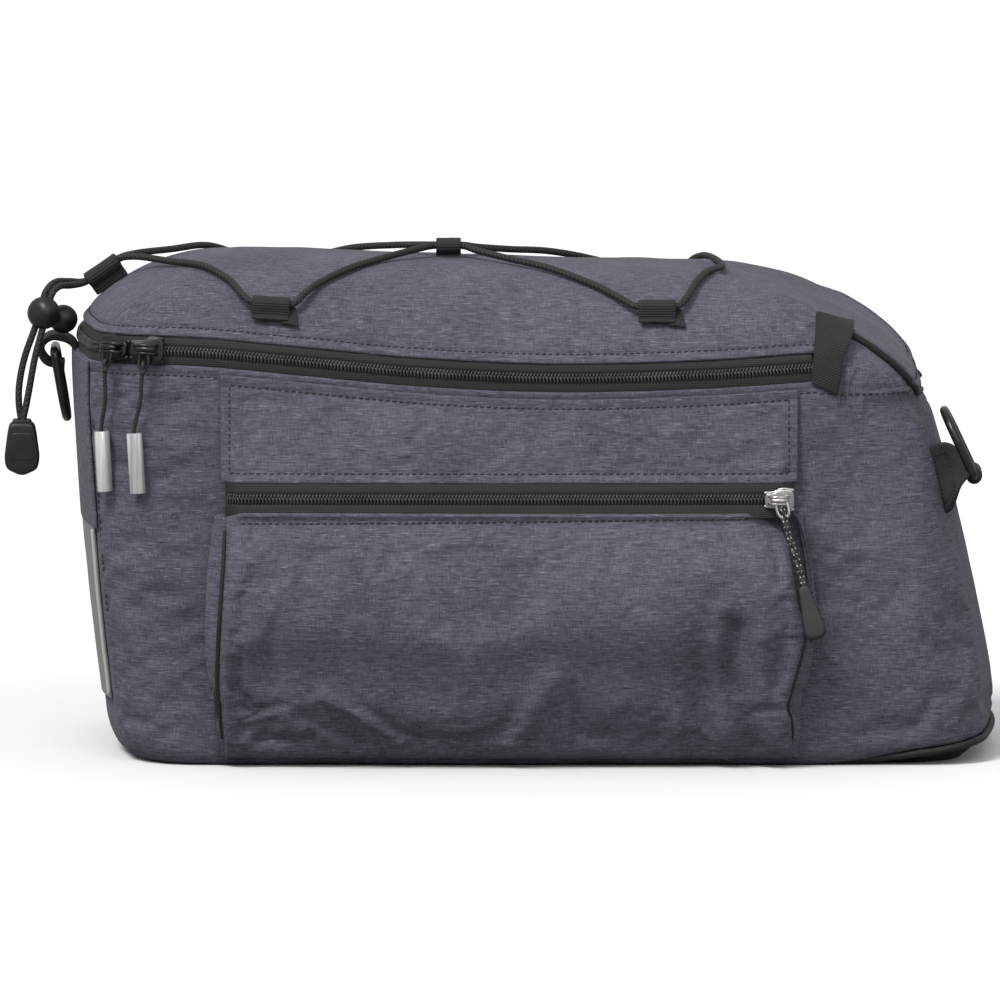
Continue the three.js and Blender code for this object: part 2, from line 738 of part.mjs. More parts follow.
function pouchGrid(inset) {
  const lowest = POCKET_FOOT + inset;
  const shares = [0, 0.03, 0.065, 0.1, 0.16, 0.24, 0.32, 0.4, 0.5, 0.6, 0.68, 0.76, 0.8, 0.84, 0.87, 0.9, 0.94, 0.97, 1];
  const row = (z, closing) => {
    const start = pocketStart + inset;
    const stop = pocketStart + POCKET_LENGTH - inset;
    const sewn = POCKET_GUSSET * Math.sin(Math.PI * clamp((z - POCKET_FOOT) / (pocketZip.high - POCKET_FOOT), 0, 1)) + 0.5;
    const edgeY = (x) => -(sideOut(x, z) + DRAPE_GAP);
    const front = shares.map((share) => {
      const x = lerp(start, stop, share);
      const depth = closing ? 0 : Math.max(pocketDepth(share, z) - inset, POCKET_WALL);
      return vec(x, edgeY(x) - depth, z);
    });
    return [vec(start - sewn, edgeY(start - sewn), z), ...front, vec(stop + sewn, edgeY(stop + sewn), z)];
  };
  const heights = [0.02, 0.08, 0.16, 0.26, 0.38, 0.5, 0.64, 0.78, 0.9, 1];
  const tops = heights.map((share) => row(lerp(lowest, pocketZip.low, share), false));
  return [row(lowest - (POCKET_FOOT * (inset ? 0.9 : 1)) / 4, true), ...tops];
}

const pocketPouch = () => plate(pouchGrid(0), pouchGrid(POCKET_WALL));

function pocketPanel() {
  const rows = spread(0, 1, 3);
  const columns = spread(0, 1, 16);
  const grid = (out) =>
    rows.map((up) =>
      columns.map((along) => {
        const x = pocketStart + POCKET_LENGTH * along;
        const z = lerp(pocketZip.high, panelTop(x), up);
        return vec(x, -(sideOut(x, z) + DRAPE_GAP + pocketDepth(along, z) - out), z);
      }),
    );
  return plate(grid(0), grid(POCKET_WALL));
}

const pocketZipAt = (along, z, out) => {
  const x = pocketStart + POCKET_TAPE_MARGIN + (POCKET_LENGTH - 2 * POCKET_TAPE_MARGIN) * along;
  const share = (x - pocketStart) / POCKET_LENGTH;
  return vec(x, -(sideOut(x, z) + DRAPE_GAP + pocketDepth(share, z) + out), z);
};

function pocketTape() {
  const columns = spread(0, 1, 16);
  const rows = spread(pocketZip.low + GAP, pocketZip.high - GAP, 2);
  const grid = (out) => rows.map((z) => columns.map((along) => pocketZipAt(along, z, out)));
  return plate(grid(-TAPE_RECESS / 2), grid(-TAPE_RECESS / 2 - TAPE_THICKNESS / 2));
}

function pocketCoil() {
  const half = COIL_WIDTH / 2;
  const floor = GAP - TAPE_RECESS / 2;
  const corners = [
    [-half, floor],
    [half, floor],
    [half * 0.8, floor + COIL_HEIGHT * 0.7],
    [0, floor + COIL_HEIGHT],
    [-half * 0.8, floor + COIL_HEIGHT * 0.7],
  ];
  return loft(spread(0.002, 0.998, 16).map((along) => corners.map(([up, out]) => pocketZipAt(along, POCKET_ZIP_HEIGHT + up, out))));
}

// Zip sliders and pulls

// A slider lying in the plane of x (along the zip) and y (across it), its bridge rising to +z.
function sliderBody() {
  const [l, w] = [SLIDER_LENGTH / 2, SLIDER_WIDTH / 2];
  const plan = new THREE.Shape();
  plan.moveTo(-l, -w * 0.62);
  plan.lineTo(-l * 0.3, -w * 0.62);
  plan.lineTo(l * 0.35, -w);
  plan.lineTo(l, -w * 0.8);
  plan.lineTo(l, w * 0.8);
  plan.lineTo(l * 0.35, w);
  plan.lineTo(-l * 0.3, w * 0.62);
  plan.lineTo(-l, w * 0.62);
  const body = extruded(plan, SLIDER_PLATE).translate(0, 0, SLIDER_PLATE / 2);
  const arch = new THREE.Shape();
  arch.moveTo(-l * 0.8, 0);
  arch.lineTo(l * 0.75, 0);
  arch.quadraticCurveTo(l * 0.7, SLIDER_BRIDGE, 0, SLIDER_BRIDGE);
  arch.quadraticCurveTo(-l * 0.7, SLIDER_BRIDGE, -l * 0.8, 0);
  const eye = new THREE.Path();
  eye.moveTo(-l * 0.42, SLIDER_BRIDGE * 0.18);
  eye.lineTo(l * 0.42, SLIDER_BRIDGE * 0.18);
  eye.lineTo(l * 0.3, SLIDER_BRIDGE * 0.62);
  eye.lineTo(-l * 0.3, SLIDER_BRIDGE * 0.62);
  arch.holes.push(eye);
  const bridge = extruded(arch, SLIDER_WIDTH * 0.3, 5);
  bridge.applyMatrix4(new THREE.Matrix4().makeBasis(vec(1, 0, 0), vec(0, 0, 1), vec(0, -1, 0)));
  return joined(body, bridge.translate(0, 0, SLIDER_PLATE * 0.9));
}

const sliderSteps = [0, 1].map((n) => skinStepAt(REAR + SLIDER_REAR + n * SLIDER_PITCH, ZIP_HEIGHT - 1));

function zipFrame(k) {
  const normal = skinNormal(k, levelAt(k, bodyEdge(k) + ZIP_OPENING / 2));
  const along = zipPoint(k + 0.3, 0.5, 0).sub(zipPoint(k - 0.3, 0.5, 0)).normalize();
  const across = normal.clone().cross(along).normalize();
  return { along, across, normal, at: zipPoint(k, 0.5, 2 * GAP + COIL_HEIGHT - TAPE_RECESS) };
}

function mainSlider(n) {
  const { along, across, normal, at } = zipFrame(sliderSteps[n]);
  const turn = n ? 1 : -1;
  return placed(sliderBody(), along.clone().multiplyScalar(turn), across.clone().multiplyScalar(turn), normal, at);
}

// The cord of a pull hangs from the slider's foot, and its tube lies along the body.
function pullLine(n) {
  const k = sliderSteps[n] - PULL_DRIFT;
  const { at, normal } = zipFrame(sliderSteps[n]);
  at.addScaledVector(normal, PULL_CORD_RADIUS);
  const height = at.z - SLIDER_WIDTH / 2 - GAP - 0.2;
  const beside = (drop) => offSkin(k, levelAt(k, height - drop), TUBE_RADIUS + DRAPE_GAP);
  const top = vec(at.x, at.y, height);
  const foot = beside(PULL_CORD_LENGTH);
  const down = beside(PULL_CORD_LENGTH + TUBE_LENGTH).sub(foot).normalize();
  return { top, foot, down };
}

function pullCord(n) {
  const { top, foot, down } = pullLine(n);
  const mouth = foot.clone().addScaledVector(down, -TUBE_GRIP - 1);
  return tubeAlong([top, mouth, foot], PULL_CORD_RADIUS, 12);
}

function pullTube(n) {
  const { foot, down } = pullLine(n);
  const inner = TUBE_RADIUS - TUBE_WALL;
  const profile = [
    [PULL_CORD_RADIUS + GAP + 0.1, 0],
    [TUBE_RADIUS - 0.4, 0],
    [TUBE_RADIUS, 0.4],
    [TUBE_RADIUS, TUBE_LENGTH],
    [inner, TUBE_LENGTH],
    [inner, TUBE_GRIP + 1],
    [PULL_CORD_RADIUS + GAP + 0.1, TUBE_GRIP + 0.6],
    [PULL_CORD_RADIUS + GAP + 0.1, 0],
  ].map(([r, h]) => new THREE.Vector2(r, -h));
  const tube = new THREE.LatheGeometry(profile, 14);
  const aside = vec(0, 1, 0).cross(down).normalize();
  const outward = aside.clone().cross(down).normalize();
  return placed(tube, aside, down.clone().negate(), outward, foot.clone().addScaledVector(down, -TUBE_GRIP));
}

const pocketSliderX = pocketStart + POCKET_LENGTH - POCKET_TAPE_MARGIN - POCKET_SLIDER_BACK;

function pocketSliderAt() {
  const share = (pocketSliderX - pocketStart - POCKET_TAPE_MARGIN) / (POCKET_LENGTH - 2 * POCKET_TAPE_MARGIN);
  return pocketZipAt(share, POCKET_ZIP_HEIGHT, 2 * GAP + COIL_HEIGHT - TAPE_RECESS / 2);
}

function pocketSlider() {
  const along = vec(1, 0, 0);
  return placed(sliderBody(), along, vec(0, 0, 1), vec(0, -1, 0), pocketSliderAt());
}

function pocketPullLine() {
  const top = pocketSliderAt().add(vec(1, -PULL_CORD_RADIUS - 1.5, -SLIDER_WIDTH / 2 - GAP - 0.4));
  const lean = THREE.MathUtils.degToRad(POCKET_PULL_LEAN);
  const reach = POCKET_PULL_LENGTH + GRIP_LENGTH;
  const low = top.z - reach * 0.9;
  const belly = sideOut(top.x, low) + DRAPE_GAP + POCKET_DEPTH + POCKET_BULGE + GRIP_THICKNESS / 2;
  const down = vec(Math.sin(lean), (-belly - top.y) / reach, -Math.cos(lean)).normalize();
  return { top, down, foot: top.clone().addScaledVector(down, POCKET_PULL_LENGTH) };
}

function pocketPullCord() {
  const { top, foot } = pocketPullLine();
  return tubeAlong([top, top.clone().lerp(foot, 0.5), foot], PULL_CORD_RADIUS, 12);
}

function pocketGrip() {
  const { foot, down } = pocketPullLine();
  const half = GRIP_WIDTH / 2;
  const plan = new THREE.Shape();
  plan.moveTo(-half * 0.55, 0);
  plan.lineTo(half * 0.55, 0);
  plan.lineTo(half, GRIP_LENGTH - half);
  plan.absarc(0, GRIP_LENGTH - half, half, 0, Math.PI, false);
  const across = vec(0, -1, 0).cross(down).normalize();
  const facing = across.clone().cross(down).normalize();
  return placed(extruded(plan, GRIP_THICKNESS), across, down, facing, foot.clone().addScaledVector(down, GAP));
}

// Webbing tab over the end of the main zip
function zipEndTab() {
  const lean = Math.tan(THREE.MathUtils.degToRad(END_TAB_LEAN));
  const low = bodyEdge(ZIP_STOP) + 2 * GAP;
  const start = outlineAt(ZIP_STOP, low).x - WEBBING;
  const grid = (out) =>
    spread(0, 1, 6).map((up) =>
      spread(0, 1, 5).map((across) => {
        const width = lerp(END_TAB_FOOT, END_TAB_TOP, up);
        const z = low + END_TAB_HEIGHT * up - END_TAB_DROP * across;
        const k = skinStepAt(start + across * width + lean * END_TAB_HEIGHT * up, z);
        const proud = LID_OVERLAP * THREE.MathUtils.clamp(k - ZIP_STOP, 0, 1);
        return offSkin(k, levelAt(k, z), proud + out);
      }),
    );
  const over = COIL_HEIGHT - TAPE_RECESS + 2 * GAP;
  return plate(grid(over + 2 * WEBBING), grid(over));
}

// Loops that hold the elastic cord

// The folded webbing of a side loop in section: x out of the lid, y up the lid, the cord's middle at y 0.
function sideLoop({ x, z }) {
  const k = skinStepAt(x, z);
  const level = levelAt(k, z);
  const normal = skinNormal(k, level);
  const inner = CORD_RADIUS + LOOP_EASE;
  const outer = inner + WEBBING;
  const middle = DRAPE_GAP + outer;
  const shape = new THREE.Shape();
  shape.absarc(middle, 0, outer, Math.PI, 0, true);
  shape.lineTo(middle + outer, -1);
  shape.lineTo(DRAPE_GAP + 2 * WEBBING, -LOOP_TAIL);
  shape.lineTo(DRAPE_GAP, -LOOP_TAIL);
  const hole = new THREE.Path();
  hole.absarc(middle, 0, inner, 0, Math.PI, false);
  hole.lineTo(middle - inner, -LOOP_TAIL * 0.6);
  hole.lineTo(DRAPE_GAP + 1.6 * WEBBING, -LOOP_TAIL * 0.6);
  shape.holes.push(hole);
  const along = skin(k + 0.5, level).sub(skin(k - 0.5, level)).normalize();
  const upward = along.clone().cross(normal).negate().normalize();
  const across = normal.clone().cross(upward).normalize();
  return placed(extruded(shape, LOOP_WIDTH, 5), normal, upward, across, skin(k, level));
}

// A loop on a stem round two strands side by side: x across the bag, y out of the lid.
function standingLoop(lift, width, at, normal, along) {
  const inner = CORD_RADIUS + LOOP_EASE;
  const outer = inner + WEBBING;
  const half = CORD_PITCH / 2;
  const stem = 1.6;
  const shape = new THREE.Shape();
  shape.moveTo(-stem, DRAPE_GAP);
  shape.lineTo(stem, DRAPE_GAP);
  shape.lineTo(stem, Math.max(lift - outer - 0.4, DRAPE_GAP + 0.1));
  shape.lineTo(half, lift - outer);
  shape.absarc(half, lift, outer, -Math.PI / 2, Math.PI / 2, false);
  shape.absarc(-half, lift, outer, Math.PI / 2, (3 * Math.PI) / 2, false);
  shape.lineTo(-stem, Math.max(lift - outer - 0.4, DRAPE_GAP + 0.1));
  const hole = new THREE.Path();
  hole.absarc(half, lift, inner, -Math.PI / 2, Math.PI / 2, false);
  hole.absarc(-half, lift, inner, Math.PI / 2, (3 * Math.PI) / 2, false);
  shape.holes.push(hole);
  const across = normal.clone().cross(along).normalize();
  return placed(extruded(shape, width, 6), across, normal, across.clone().cross(normal).normalize(), at);
}


function centreLoop() {
  const k = SIDE_START + SIDE_STEPS * CENTRE_LOOP_SHARE;
  return standingLoop(CENTRE_LOOP_LIFT, CENTRE_LOOP_WIDTH, ridgePoint(k), UP.clone(), vec(1, 0, 0));
}

function rearLoop() {
  const at = skin(0, REAR_LOOP_LEVEL);
  const along = skin(0, REAR_LOOP_LEVEL + 0.02).sub(skin(0, REAR_LOOP_LEVEL - 0.02)).normalize();
  const normal = skinNormal(0, REAR_LOOP_LEVEL);
  return standingLoop(REAR_LOOP_LIFT, LOOP_WIDTH, at, normal, along);
}

// The elastic cord over the lid, from one side of the rear loop to the other
function elasticCord() {
  const near = CORD_ROUTE.map((point) => vec(...point));
  const far = near.slice(0, -1).toReversed().map((point) => vec(point.x, -point.y, point.z));
  return tubeAlong([...near, ...far], CORD_RADIUS, 80);
}

const cordTail = (side) => tubeAlong(TAIL_ROUTES[side].map((point) => vec(...point)), CORD_RADIUS, 20);

// A cutter with two round ends: x between the strands, z along them, centred.
function strandSlot(length) {
  const half = CORD_PITCH / 2;
  const shape = new THREE.Shape();
  shape.absarc(half, 0, CORD_BORE, -Math.PI / 2, Math.PI / 2, false);
  shape.absarc(-half, 0, CORD_BORE, Math.PI / 2, (3 * Math.PI) / 2, false);
  return extruded(shape, length, 6);
}

// The cord lock in its own frame: z from the ball to the button, y along the cords, x between them.
function lockFrame(geometry) {
  const axis = vec(...LOCK_AXIS).normalize();
  const between = axis.clone().cross(vec(...LOCK_PASS)).normalize();
  const pass = axis.clone().cross(between).normalize();
  return placed(geometry, between, pass, axis, vec(...LOCK_AT));
}

const upright = (geometry) => geometry.rotateX(Math.PI / 2);

function lockBall() {
  const ball = upright(new THREE.SphereGeometry(LOCK_BALL, 18, 12));
  const slot = upright(strandSlot(3 * LOCK_BALL));
  const depth = LOCK_BALL - LOCK_SOCKET + 1;
  const socket = upright(new THREE.CylinderGeometry(LOCK_NECK + GAP, LOCK_NECK + GAP, depth, 16));
  return lockFrame(cut(ball, slot, socket.translate(0, 0, LOCK_SOCKET + depth / 2)));
}

function lockButton() {
  const start = LOCK_SOCKET + GAP + LOCK_TRAVEL;
  const middle = LOCK_BALL + 2 * GAP + LOCK_TRAVEL + LOCK_BUTTON;
  const ball = upright(new THREE.SphereGeometry(LOCK_BUTTON, 18, 12)).translate(0, 0, middle);
  const neck = upright(new THREE.CylinderGeometry(LOCK_NECK, LOCK_NECK, middle - start, 16));
  return lockFrame(joined(ball, neck.translate(0, 0, (start + middle) / 2)));
}

// The stopper that closes the two tails: x across its face, z up, its top at z 0.
function cordStopper() {
  const shape = new THREE.Shape();
  const [top, foot] = [STOPPER_TOP / 2, STOPPER_FOOT / 2];
  shape.moveTo(-top, 0);
  shape.lineTo(-foot, -STOPPER_HEIGHT * 0.72);
  shape.quadraticCurveTo(-foot, -STOPPER_HEIGHT, 0, -STOPPER_HEIGHT);
  shape.quadraticCurveTo(foot, -STOPPER_HEIGHT, foot, -STOPPER_HEIGHT * 0.72);
  shape.lineTo(top, 0);
  const body = upright(extruded(shape, STOPPER_THICKNESS, 5));
  const bore = strandSlot(2 * STOPPER_BORE).rotateZ(Math.PI / 2);
  return cut(body, bore).translate(...STOPPER_AT);
}

// D-rings. The bar lies along y through the origin, and the bow reaches to +z.
function ringGeometry() {
  const half = RING_INSIDE / 2 + RING_WIRE;
  const points = [];
  for (const a of spread(-Math.PI / 2, 0, 3)) points.push([half - RING_BEND + RING_BEND * Math.cos(a), RING_BEND + RING_BEND * Math.sin(a)]);
  for (const a of spread(0, Math.PI, 10)) points.push([half * Math.cos(a), RING_REACH - half + half * Math.sin(a)]);
  for (const a of spread(Math.PI, (3 * Math.PI) / 2, 3)) points.push([-half + RING_BEND + RING_BEND * Math.cos(a), RING_BEND + RING_BEND * Math.sin(a)]);
  return wireLoop(points.map(([y, z]) => vec(0, y, z)), vec(1, 0, 0), RING_WIRE, 8);
}

const rearBar = vec(rearX(REAR_BAR_HEIGHT) - REAR_BAR_OUT, 0, REAR_BAR_HEIGHT);
const frontBar = vec(frontX(FRONT_BAR_HEIGHT) - FRONT_BOW + FRONT_BAR_OUT, -FRONT_BAR_SIDE, FRONT_BAR_HEIGHT);

// Angle from upright at which a ring comes to rest on the face behind it.
function rearRingAngle() {
  const face = REAR - GAP - FLAP_THICKNESS - RING_WIRE - DRAPE_GAP;
  return Math.PI + Math.asin(clamp((rearBar.x - face) / RING_REACH, -0.9, 0.9));
}

function rearTab() {
  const inner = RING_WIRE + GAP;
  const outer = inner + WEBBING + 0.3;
  const wall = REAR_BAR_OUT - DRAPE_GAP - GAP - FLAP_THICKNESS;
  const shape = new THREE.Shape();
  shape.absarc(0, 0, outer, -Math.PI / 2, Math.PI / 2, true);
  shape.lineTo(wall, outer - 1.2);
  shape.lineTo(wall, outer - 1.2 - REAR_TAB_TAIL);
  shape.lineTo(wall - 2 * WEBBING, outer - 1.2 - REAR_TAB_TAIL);
  shape.lineTo(wall - 2 * WEBBING, -outer * 0.25);
  const hole = new THREE.Path();
  hole.absarc(0, 0, inner, 0, 2 * Math.PI, false);
  shape.holes.push(hole);
  return placed(extruded(shape, RING_TAB_WIDTH, 8), vec(1, 0, 0), UP.clone(), vec(0, -1, 0), rearBar.clone());
}

function frontTab() {
  const inner = RING_WIRE + GAP;
  const outer = inner + WEBBING + 0.3;
  const round = new THREE.Shape();
  round.absarc(0, 0, outer, 0, 2 * Math.PI, false);
  const hole = new THREE.Path();
  hole.absarc(0, 0, inner, 0, 2 * Math.PI, false);
  round.holes.push(hole);
  const eye = placed(extruded(round, RING_TAB_WIDTH, 8), vec(1, 0, 0), UP.clone(), vec(0, -1, 0), frontBar.clone());
  const seamLevel = levelAt(FRONT_TAB_STATION, FRONT_BAR_HEIGHT - 2);
  const sewn = offSkin(FRONT_TAB_STATION, seamLevel, DRAPE_GAP + WEBBING);
  const seamNormal = skinNormal(FRONT_TAB_STATION, seamLevel);
  const seamAlong = skin(FRONT_TAB_STATION, seamLevel + 0.05).sub(skin(FRONT_TAB_STATION, seamLevel - 0.05)).normalize();
  const end = frontBar.clone().add(vec(-inner - WEBBING / 2, 0, 0));
  const rings = spread(0, 1, 6).map((share) => {
    const middle = sewn.clone().lerp(end, share);
    middle.addScaledVector(seamNormal, 3 * Math.sin(Math.PI * share));
    const wide = seamAlong.clone().lerp(vec(0, 1, 0), smooth(share)).normalize();
    const thick = seamNormal.clone().lerp(UP, smooth(share)).normalize();
    thick.addScaledVector(wide, -thick.dot(wide)).normalize();
    const halfWide = lerp(FRONT_TAB_HEIGHT, RING_TAB_WIDTH - 1, smooth(share)) / 2;
    return [[-1, -1], [1, -1], [1, 1], [-1, 1]].map(([w, t]) =>
      middle.clone().addScaledVector(wide, w * halfWide).addScaledVector(thick, t * WEBBING),
    );
  });
  return joined(loft(rings), eye);
}

// Assembly

const fabric = { color: 0x62616f, roughness: 0.9, metalness: 0 };
const black = { color: 0x1c1c1d, roughness: 0.75, metalness: 0 };
const webbing = { color: 0x242424, roughness: 0.85, metalness: 0 };
const cord = { color: 0x2a2827, roughness: 0.7, metalness: 0 };
const plastic = { color: 0x151516, roughness: 0.4, metalness: 0 };
const silver = { color: 0xd8d8da, roughness: 0.3, metalness: 0.9 };
const reflective = { color: 0x9a9896, roughness: 0.45, metalness: 0.1 };

const bag = new THREE.Group();

function piece(name, geometry, material, parent = bag) {
  const mesh = new THREE.Mesh(geometry, new THREE.MeshStandardMaterial(material));
  mesh.name = name;
  parent.add(mesh);
  return mesh;
}

// A piece on each side, the far one the mirror image of the near one.
function pair(name, make, material) {
  piece(name + "_near", make(), material);
  piece(name + "_far", make(), material).scale.y = -1;
}

piece("body_shell", bodyShell(), fabric);
piece("base_panel", basePanel(), black);
piece("base_piping", basePiping(), black);
piece("rear_flap", rearPanel(FLAP_STATION, FLAP_FOOT, (k) => bodyEdge(k) - GAP, FLAP_THICKNESS, 3), fabric);
piece("reflective_panel", rearPanel(REFLECTOR_STATION, REFLECTOR_FOOT, () => FLAP_FOOT - GAP, REFLECTOR_THICKNESS, 4), reflective);
piece("lid", lidShell(), fabric);
piece("main_zip_tape", mainTape(), black);
piece("main_zip_coil", mainCoil(), black);
pair("zip_end_tab", zipEndTab, webbing);

pair("pocket_pouch", pocketPouch, fabric);
pair("pocket_panel", pocketPanel, fabric);
pair("pocket_zip_tape", pocketTape, black);
pair("pocket_zip_coil", pocketCoil, black);
pair("pocket_slider", pocketSlider, silver);
pair("pocket_pull_cord", pocketPullCord, black);
pair("pocket_pull_grip", pocketGrip, plastic);

["rear", "front"].forEach((end, n) => {
  piece("main_slider_" + end, mainSlider(n), black);
  piece("pull_cord_" + end, pullCord(n), black);
  piece("pull_tube_" + end, pullTube(n), silver);
});

for (const end of ["rear", "front"]) {
  pair("cord_loop_" + end, () => sideLoop(SIDE_LOOPS[end]), webbing);
}
piece("cord_loop_centre", centreLoop(), webbing);
piece("cord_loop_end", rearLoop(), webbing);

piece("elastic_cord", elasticCord(), cord);
for (const side of ["near", "far"]) piece("cord_tail_" + side, cordTail(side), cord);
piece("cord_lock", lockBall(), plastic);
piece("cord_lock_button", lockButton(), plastic);
piece("cord_stopper", cordStopper(), plastic);

piece("rear_tab", rearTab(), webbing);
piece("front_tab", frontTab(), webbing);
for (const [name, bar, angle] of [["rear_ring", rearBar, rearRingAngle()], ["front_ring", frontBar, -THREE.MathUtils.degToRad(FRONT_RING_LEAN)]]) {
  const ring = piece(name, ringGeometry(), plastic);
  ring.position.copy(bar);
  ring.rotation.y = angle;
}

export default bag;
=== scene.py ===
"""The looks of the bicycle rack bag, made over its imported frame.

Metres, in the frame's own axes: +X to the slanted front, -Y to the near side, +Z up.
"""

import math

import bmesh
import bpy
import numpy as np
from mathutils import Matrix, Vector


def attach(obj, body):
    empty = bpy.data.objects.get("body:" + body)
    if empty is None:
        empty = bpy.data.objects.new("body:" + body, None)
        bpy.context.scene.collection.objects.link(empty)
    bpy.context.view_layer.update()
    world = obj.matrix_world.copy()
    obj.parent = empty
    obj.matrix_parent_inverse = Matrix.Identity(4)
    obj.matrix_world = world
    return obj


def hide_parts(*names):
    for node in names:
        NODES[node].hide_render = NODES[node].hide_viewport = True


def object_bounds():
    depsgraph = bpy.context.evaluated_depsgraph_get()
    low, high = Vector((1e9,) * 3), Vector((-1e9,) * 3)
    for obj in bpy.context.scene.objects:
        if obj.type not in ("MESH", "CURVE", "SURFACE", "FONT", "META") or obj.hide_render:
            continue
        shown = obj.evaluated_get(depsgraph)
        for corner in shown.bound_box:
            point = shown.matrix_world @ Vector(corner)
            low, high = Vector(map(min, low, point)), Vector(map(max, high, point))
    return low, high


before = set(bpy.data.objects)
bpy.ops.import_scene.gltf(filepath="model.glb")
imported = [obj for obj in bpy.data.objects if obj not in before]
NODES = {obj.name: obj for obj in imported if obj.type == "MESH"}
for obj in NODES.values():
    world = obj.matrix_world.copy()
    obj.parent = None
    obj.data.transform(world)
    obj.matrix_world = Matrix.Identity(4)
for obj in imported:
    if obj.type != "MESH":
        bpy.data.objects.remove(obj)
CAD_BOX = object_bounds()
SCENE = bpy.context.scene

# Camera

PHOTO_SIDE = 1000  # pixels
PIXEL = 0.00043
VIEW_DROP = math.radians(6.5)
VIEW_DISTANCE = 12.0
VIEW_AIM = Vector((-0.0155, -0.079, 0.1151))
SENSOR = 36.0


def add_camera():
    data = bpy.data.cameras.new("camera")
    data.sensor_width = SENSOR
    data.lens = SENSOR * VIEW_DISTANCE / (PIXEL * PHOTO_SIDE)
    data.clip_end = 80
    camera = bpy.data.objects.new("camera", data)
    SCENE.collection.objects.link(camera)
    looking = Vector((0, math.cos(VIEW_DROP), -math.sin(VIEW_DROP)))
    camera.location = VIEW_AIM - looking * VIEW_DISTANCE
    camera.rotation_euler = looking.to_track_quat("-Z", "Y").to_euler()
    SCENE.camera = camera


add_camera()

# Driving sizes

GAP = 0.0003
DRAPE_GAP = 0.0005
LENGTH = 0.397
WIDTH = 0.156
REAR = -LENGTH / 2
FRONT = LENGTH / 2
SHELL = 0.003
REAR_TUCK = 0.014
REAR_TUCK_HEIGHT = 0.170
REAR_TUCK_POWER = 1.5
FRONT_LEAN = 0.031
FRONT_HEIGHT = 0.152
FRONT_LEAN_POWER = 1.35
REAR_CORNER = 0.032
FRONT_CORNER = 0.026
REAR_BOW = 0.005
FRONT_BOW = 0.004
SIDE_BOW = 0.003
FILL_BOW = 0.003
FOOT_ROUND_REAR = 0.017
FOOT_ROUND_SIDE = 0.012
FOOT_ROUND_FRONT = 0.006
FOOT_LIFT = 0.009
FOOT_LIFT_LENGTH = 0.060
BASE_THICKNESS = 0.003
PIPING_RADIUS = 0.0016
CREST_REAR = 0.215
CREST_FRONT = 0.209
RIDGE_REAR = 0.081
RIDGE_FRONT = 0.1485
LID_SIDE_ROUND = 2.4
LID_REAR_ROUND = 2.2
LID_FRONT_ROUND = 1.68
LID_OVERLAP = 0.0015
ZIP_HEIGHT = 0.1795
ZIP_SAG = 0.0115
ZIP_OPENING = 0.014
ZIP_END = 0.077
CREASE_PEAK = 0.186
FRONT_SEAM = 0.1575
TAPE_RECESS = 0.001
COIL_PITCH = 0.0015
POCKET_LENGTH = 0.247
POCKET_REAR = 0.0635
POCKET_GUSSET = 0.006
POCKET_FOOT = 0.008
POCKET_DEPTH = 0.022
POCKET_BULGE = 0.004
POCKET_WALL = 0.0015
POCKET_ZIP_HEIGHT = 0.117
POCKET_ZIP_OPENING = 0.015
POCKET_TOP_GAP = 0.0025
FLAP_THICKNESS = 0.0015
FLAP_FOOT = 0.101
FLAP_STATION = 4
REFLECTOR_THICKNESS = 0.001
REFLECTOR_FOOT = 0.026
REFLECTOR_STATION = 3.2
REFLECTOR_EDGE_RADIUS = 0.0009
WEBBING = 0.0012
RING_WIRE = 0.002
RING_INSIDE = 0.025
RING_REACH = 0.030
RING_BEND = 0.003
RING_TAB_WIDTH = 0.021
CORD_RADIUS = 0.0015
END_TAB_FOOT = 0.010
END_TAB_TOP = 0.0135
END_TAB_HEIGHT = {"near": 0.025, "far": 0.0205}
END_TAB_DROP = 0.0045
END_TAB_LEAN = math.radians(4)
END_TAB_OUT = 0.0017
END_TAB_THICKNESS = 0.0014

END_STEPS = 3
CORNER_STEPS = 6
SIDE_STEPS = 22
SIDE_START = END_STEPS + CORNER_STEPS
SIDE_STOP = SIDE_START + SIDE_STEPS
FRONT_START = SIDE_STOP + CORNER_STEPS
HALF = FRONT_START + END_STEPS

ZIP_LINE = [
    (0, 0),
    (0.12, 0.02),
    (0.25, 0.4),
    (0.37, 0.78),
    (0.52, 1),
    (0.68, 0.88),
    (0.82, 0.6),
    (1, 0.5),
]
POCKET_PROFILE = [(0, 0.34), (0.12, 0.62), (0.35, 0.9), (0.58, 1), (0.8, 0.8), (1, 0.46)]

# Routes of the cords
CORD_ROUTE = [
    (-0.1871, -0.0017, 0.2065),
    (-0.18, -0.0018, 0.2114),
    (-0.174, -0.0058, 0.2127),
    (-0.158, -0.025, 0.2127),
    (-0.143, -0.043, 0.2125),
    (-0.132, -0.0565, 0.208),
    (-0.127, -0.067, 0.2036),
    (-0.1226, -0.0723, 0.2003),
    (-0.1139, -0.073, 0.1996),
    (-0.1044, -0.0727, 0.1994),
    (-0.0998, -0.067, 0.203),
    (-0.094, -0.0575, 0.2064),
    (-0.08, -0.0415, 0.2115),
    (-0.062, -0.0215, 0.2148),
    (-0.0495, -0.007, 0.2165),
    (-0.044, -0.0018, 0.217),
    (-0.0315, -0.0018, 0.2169),
    (-0.026, -0.007, 0.2156),
    (-0.012, -0.0192, 0.2133),
    (0.006, -0.0355, 0.2107),
    (0.027, -0.055, 0.2047),
    (0.0386, -0.066, 0.1997),
    (0.043, -0.0696, 0.1978),
    (0.052, -0.0701, 0.1976),
    (0.061, -0.0692, 0.198),
    (0.0646, -0.064, 0.2008),
    (0.0685, -0.051, 0.2058),
    (0.0735, -0.034, 0.209),
    (0.0785, -0.016, 0.2088),
    (0.0805, 0, 0.2082),
]
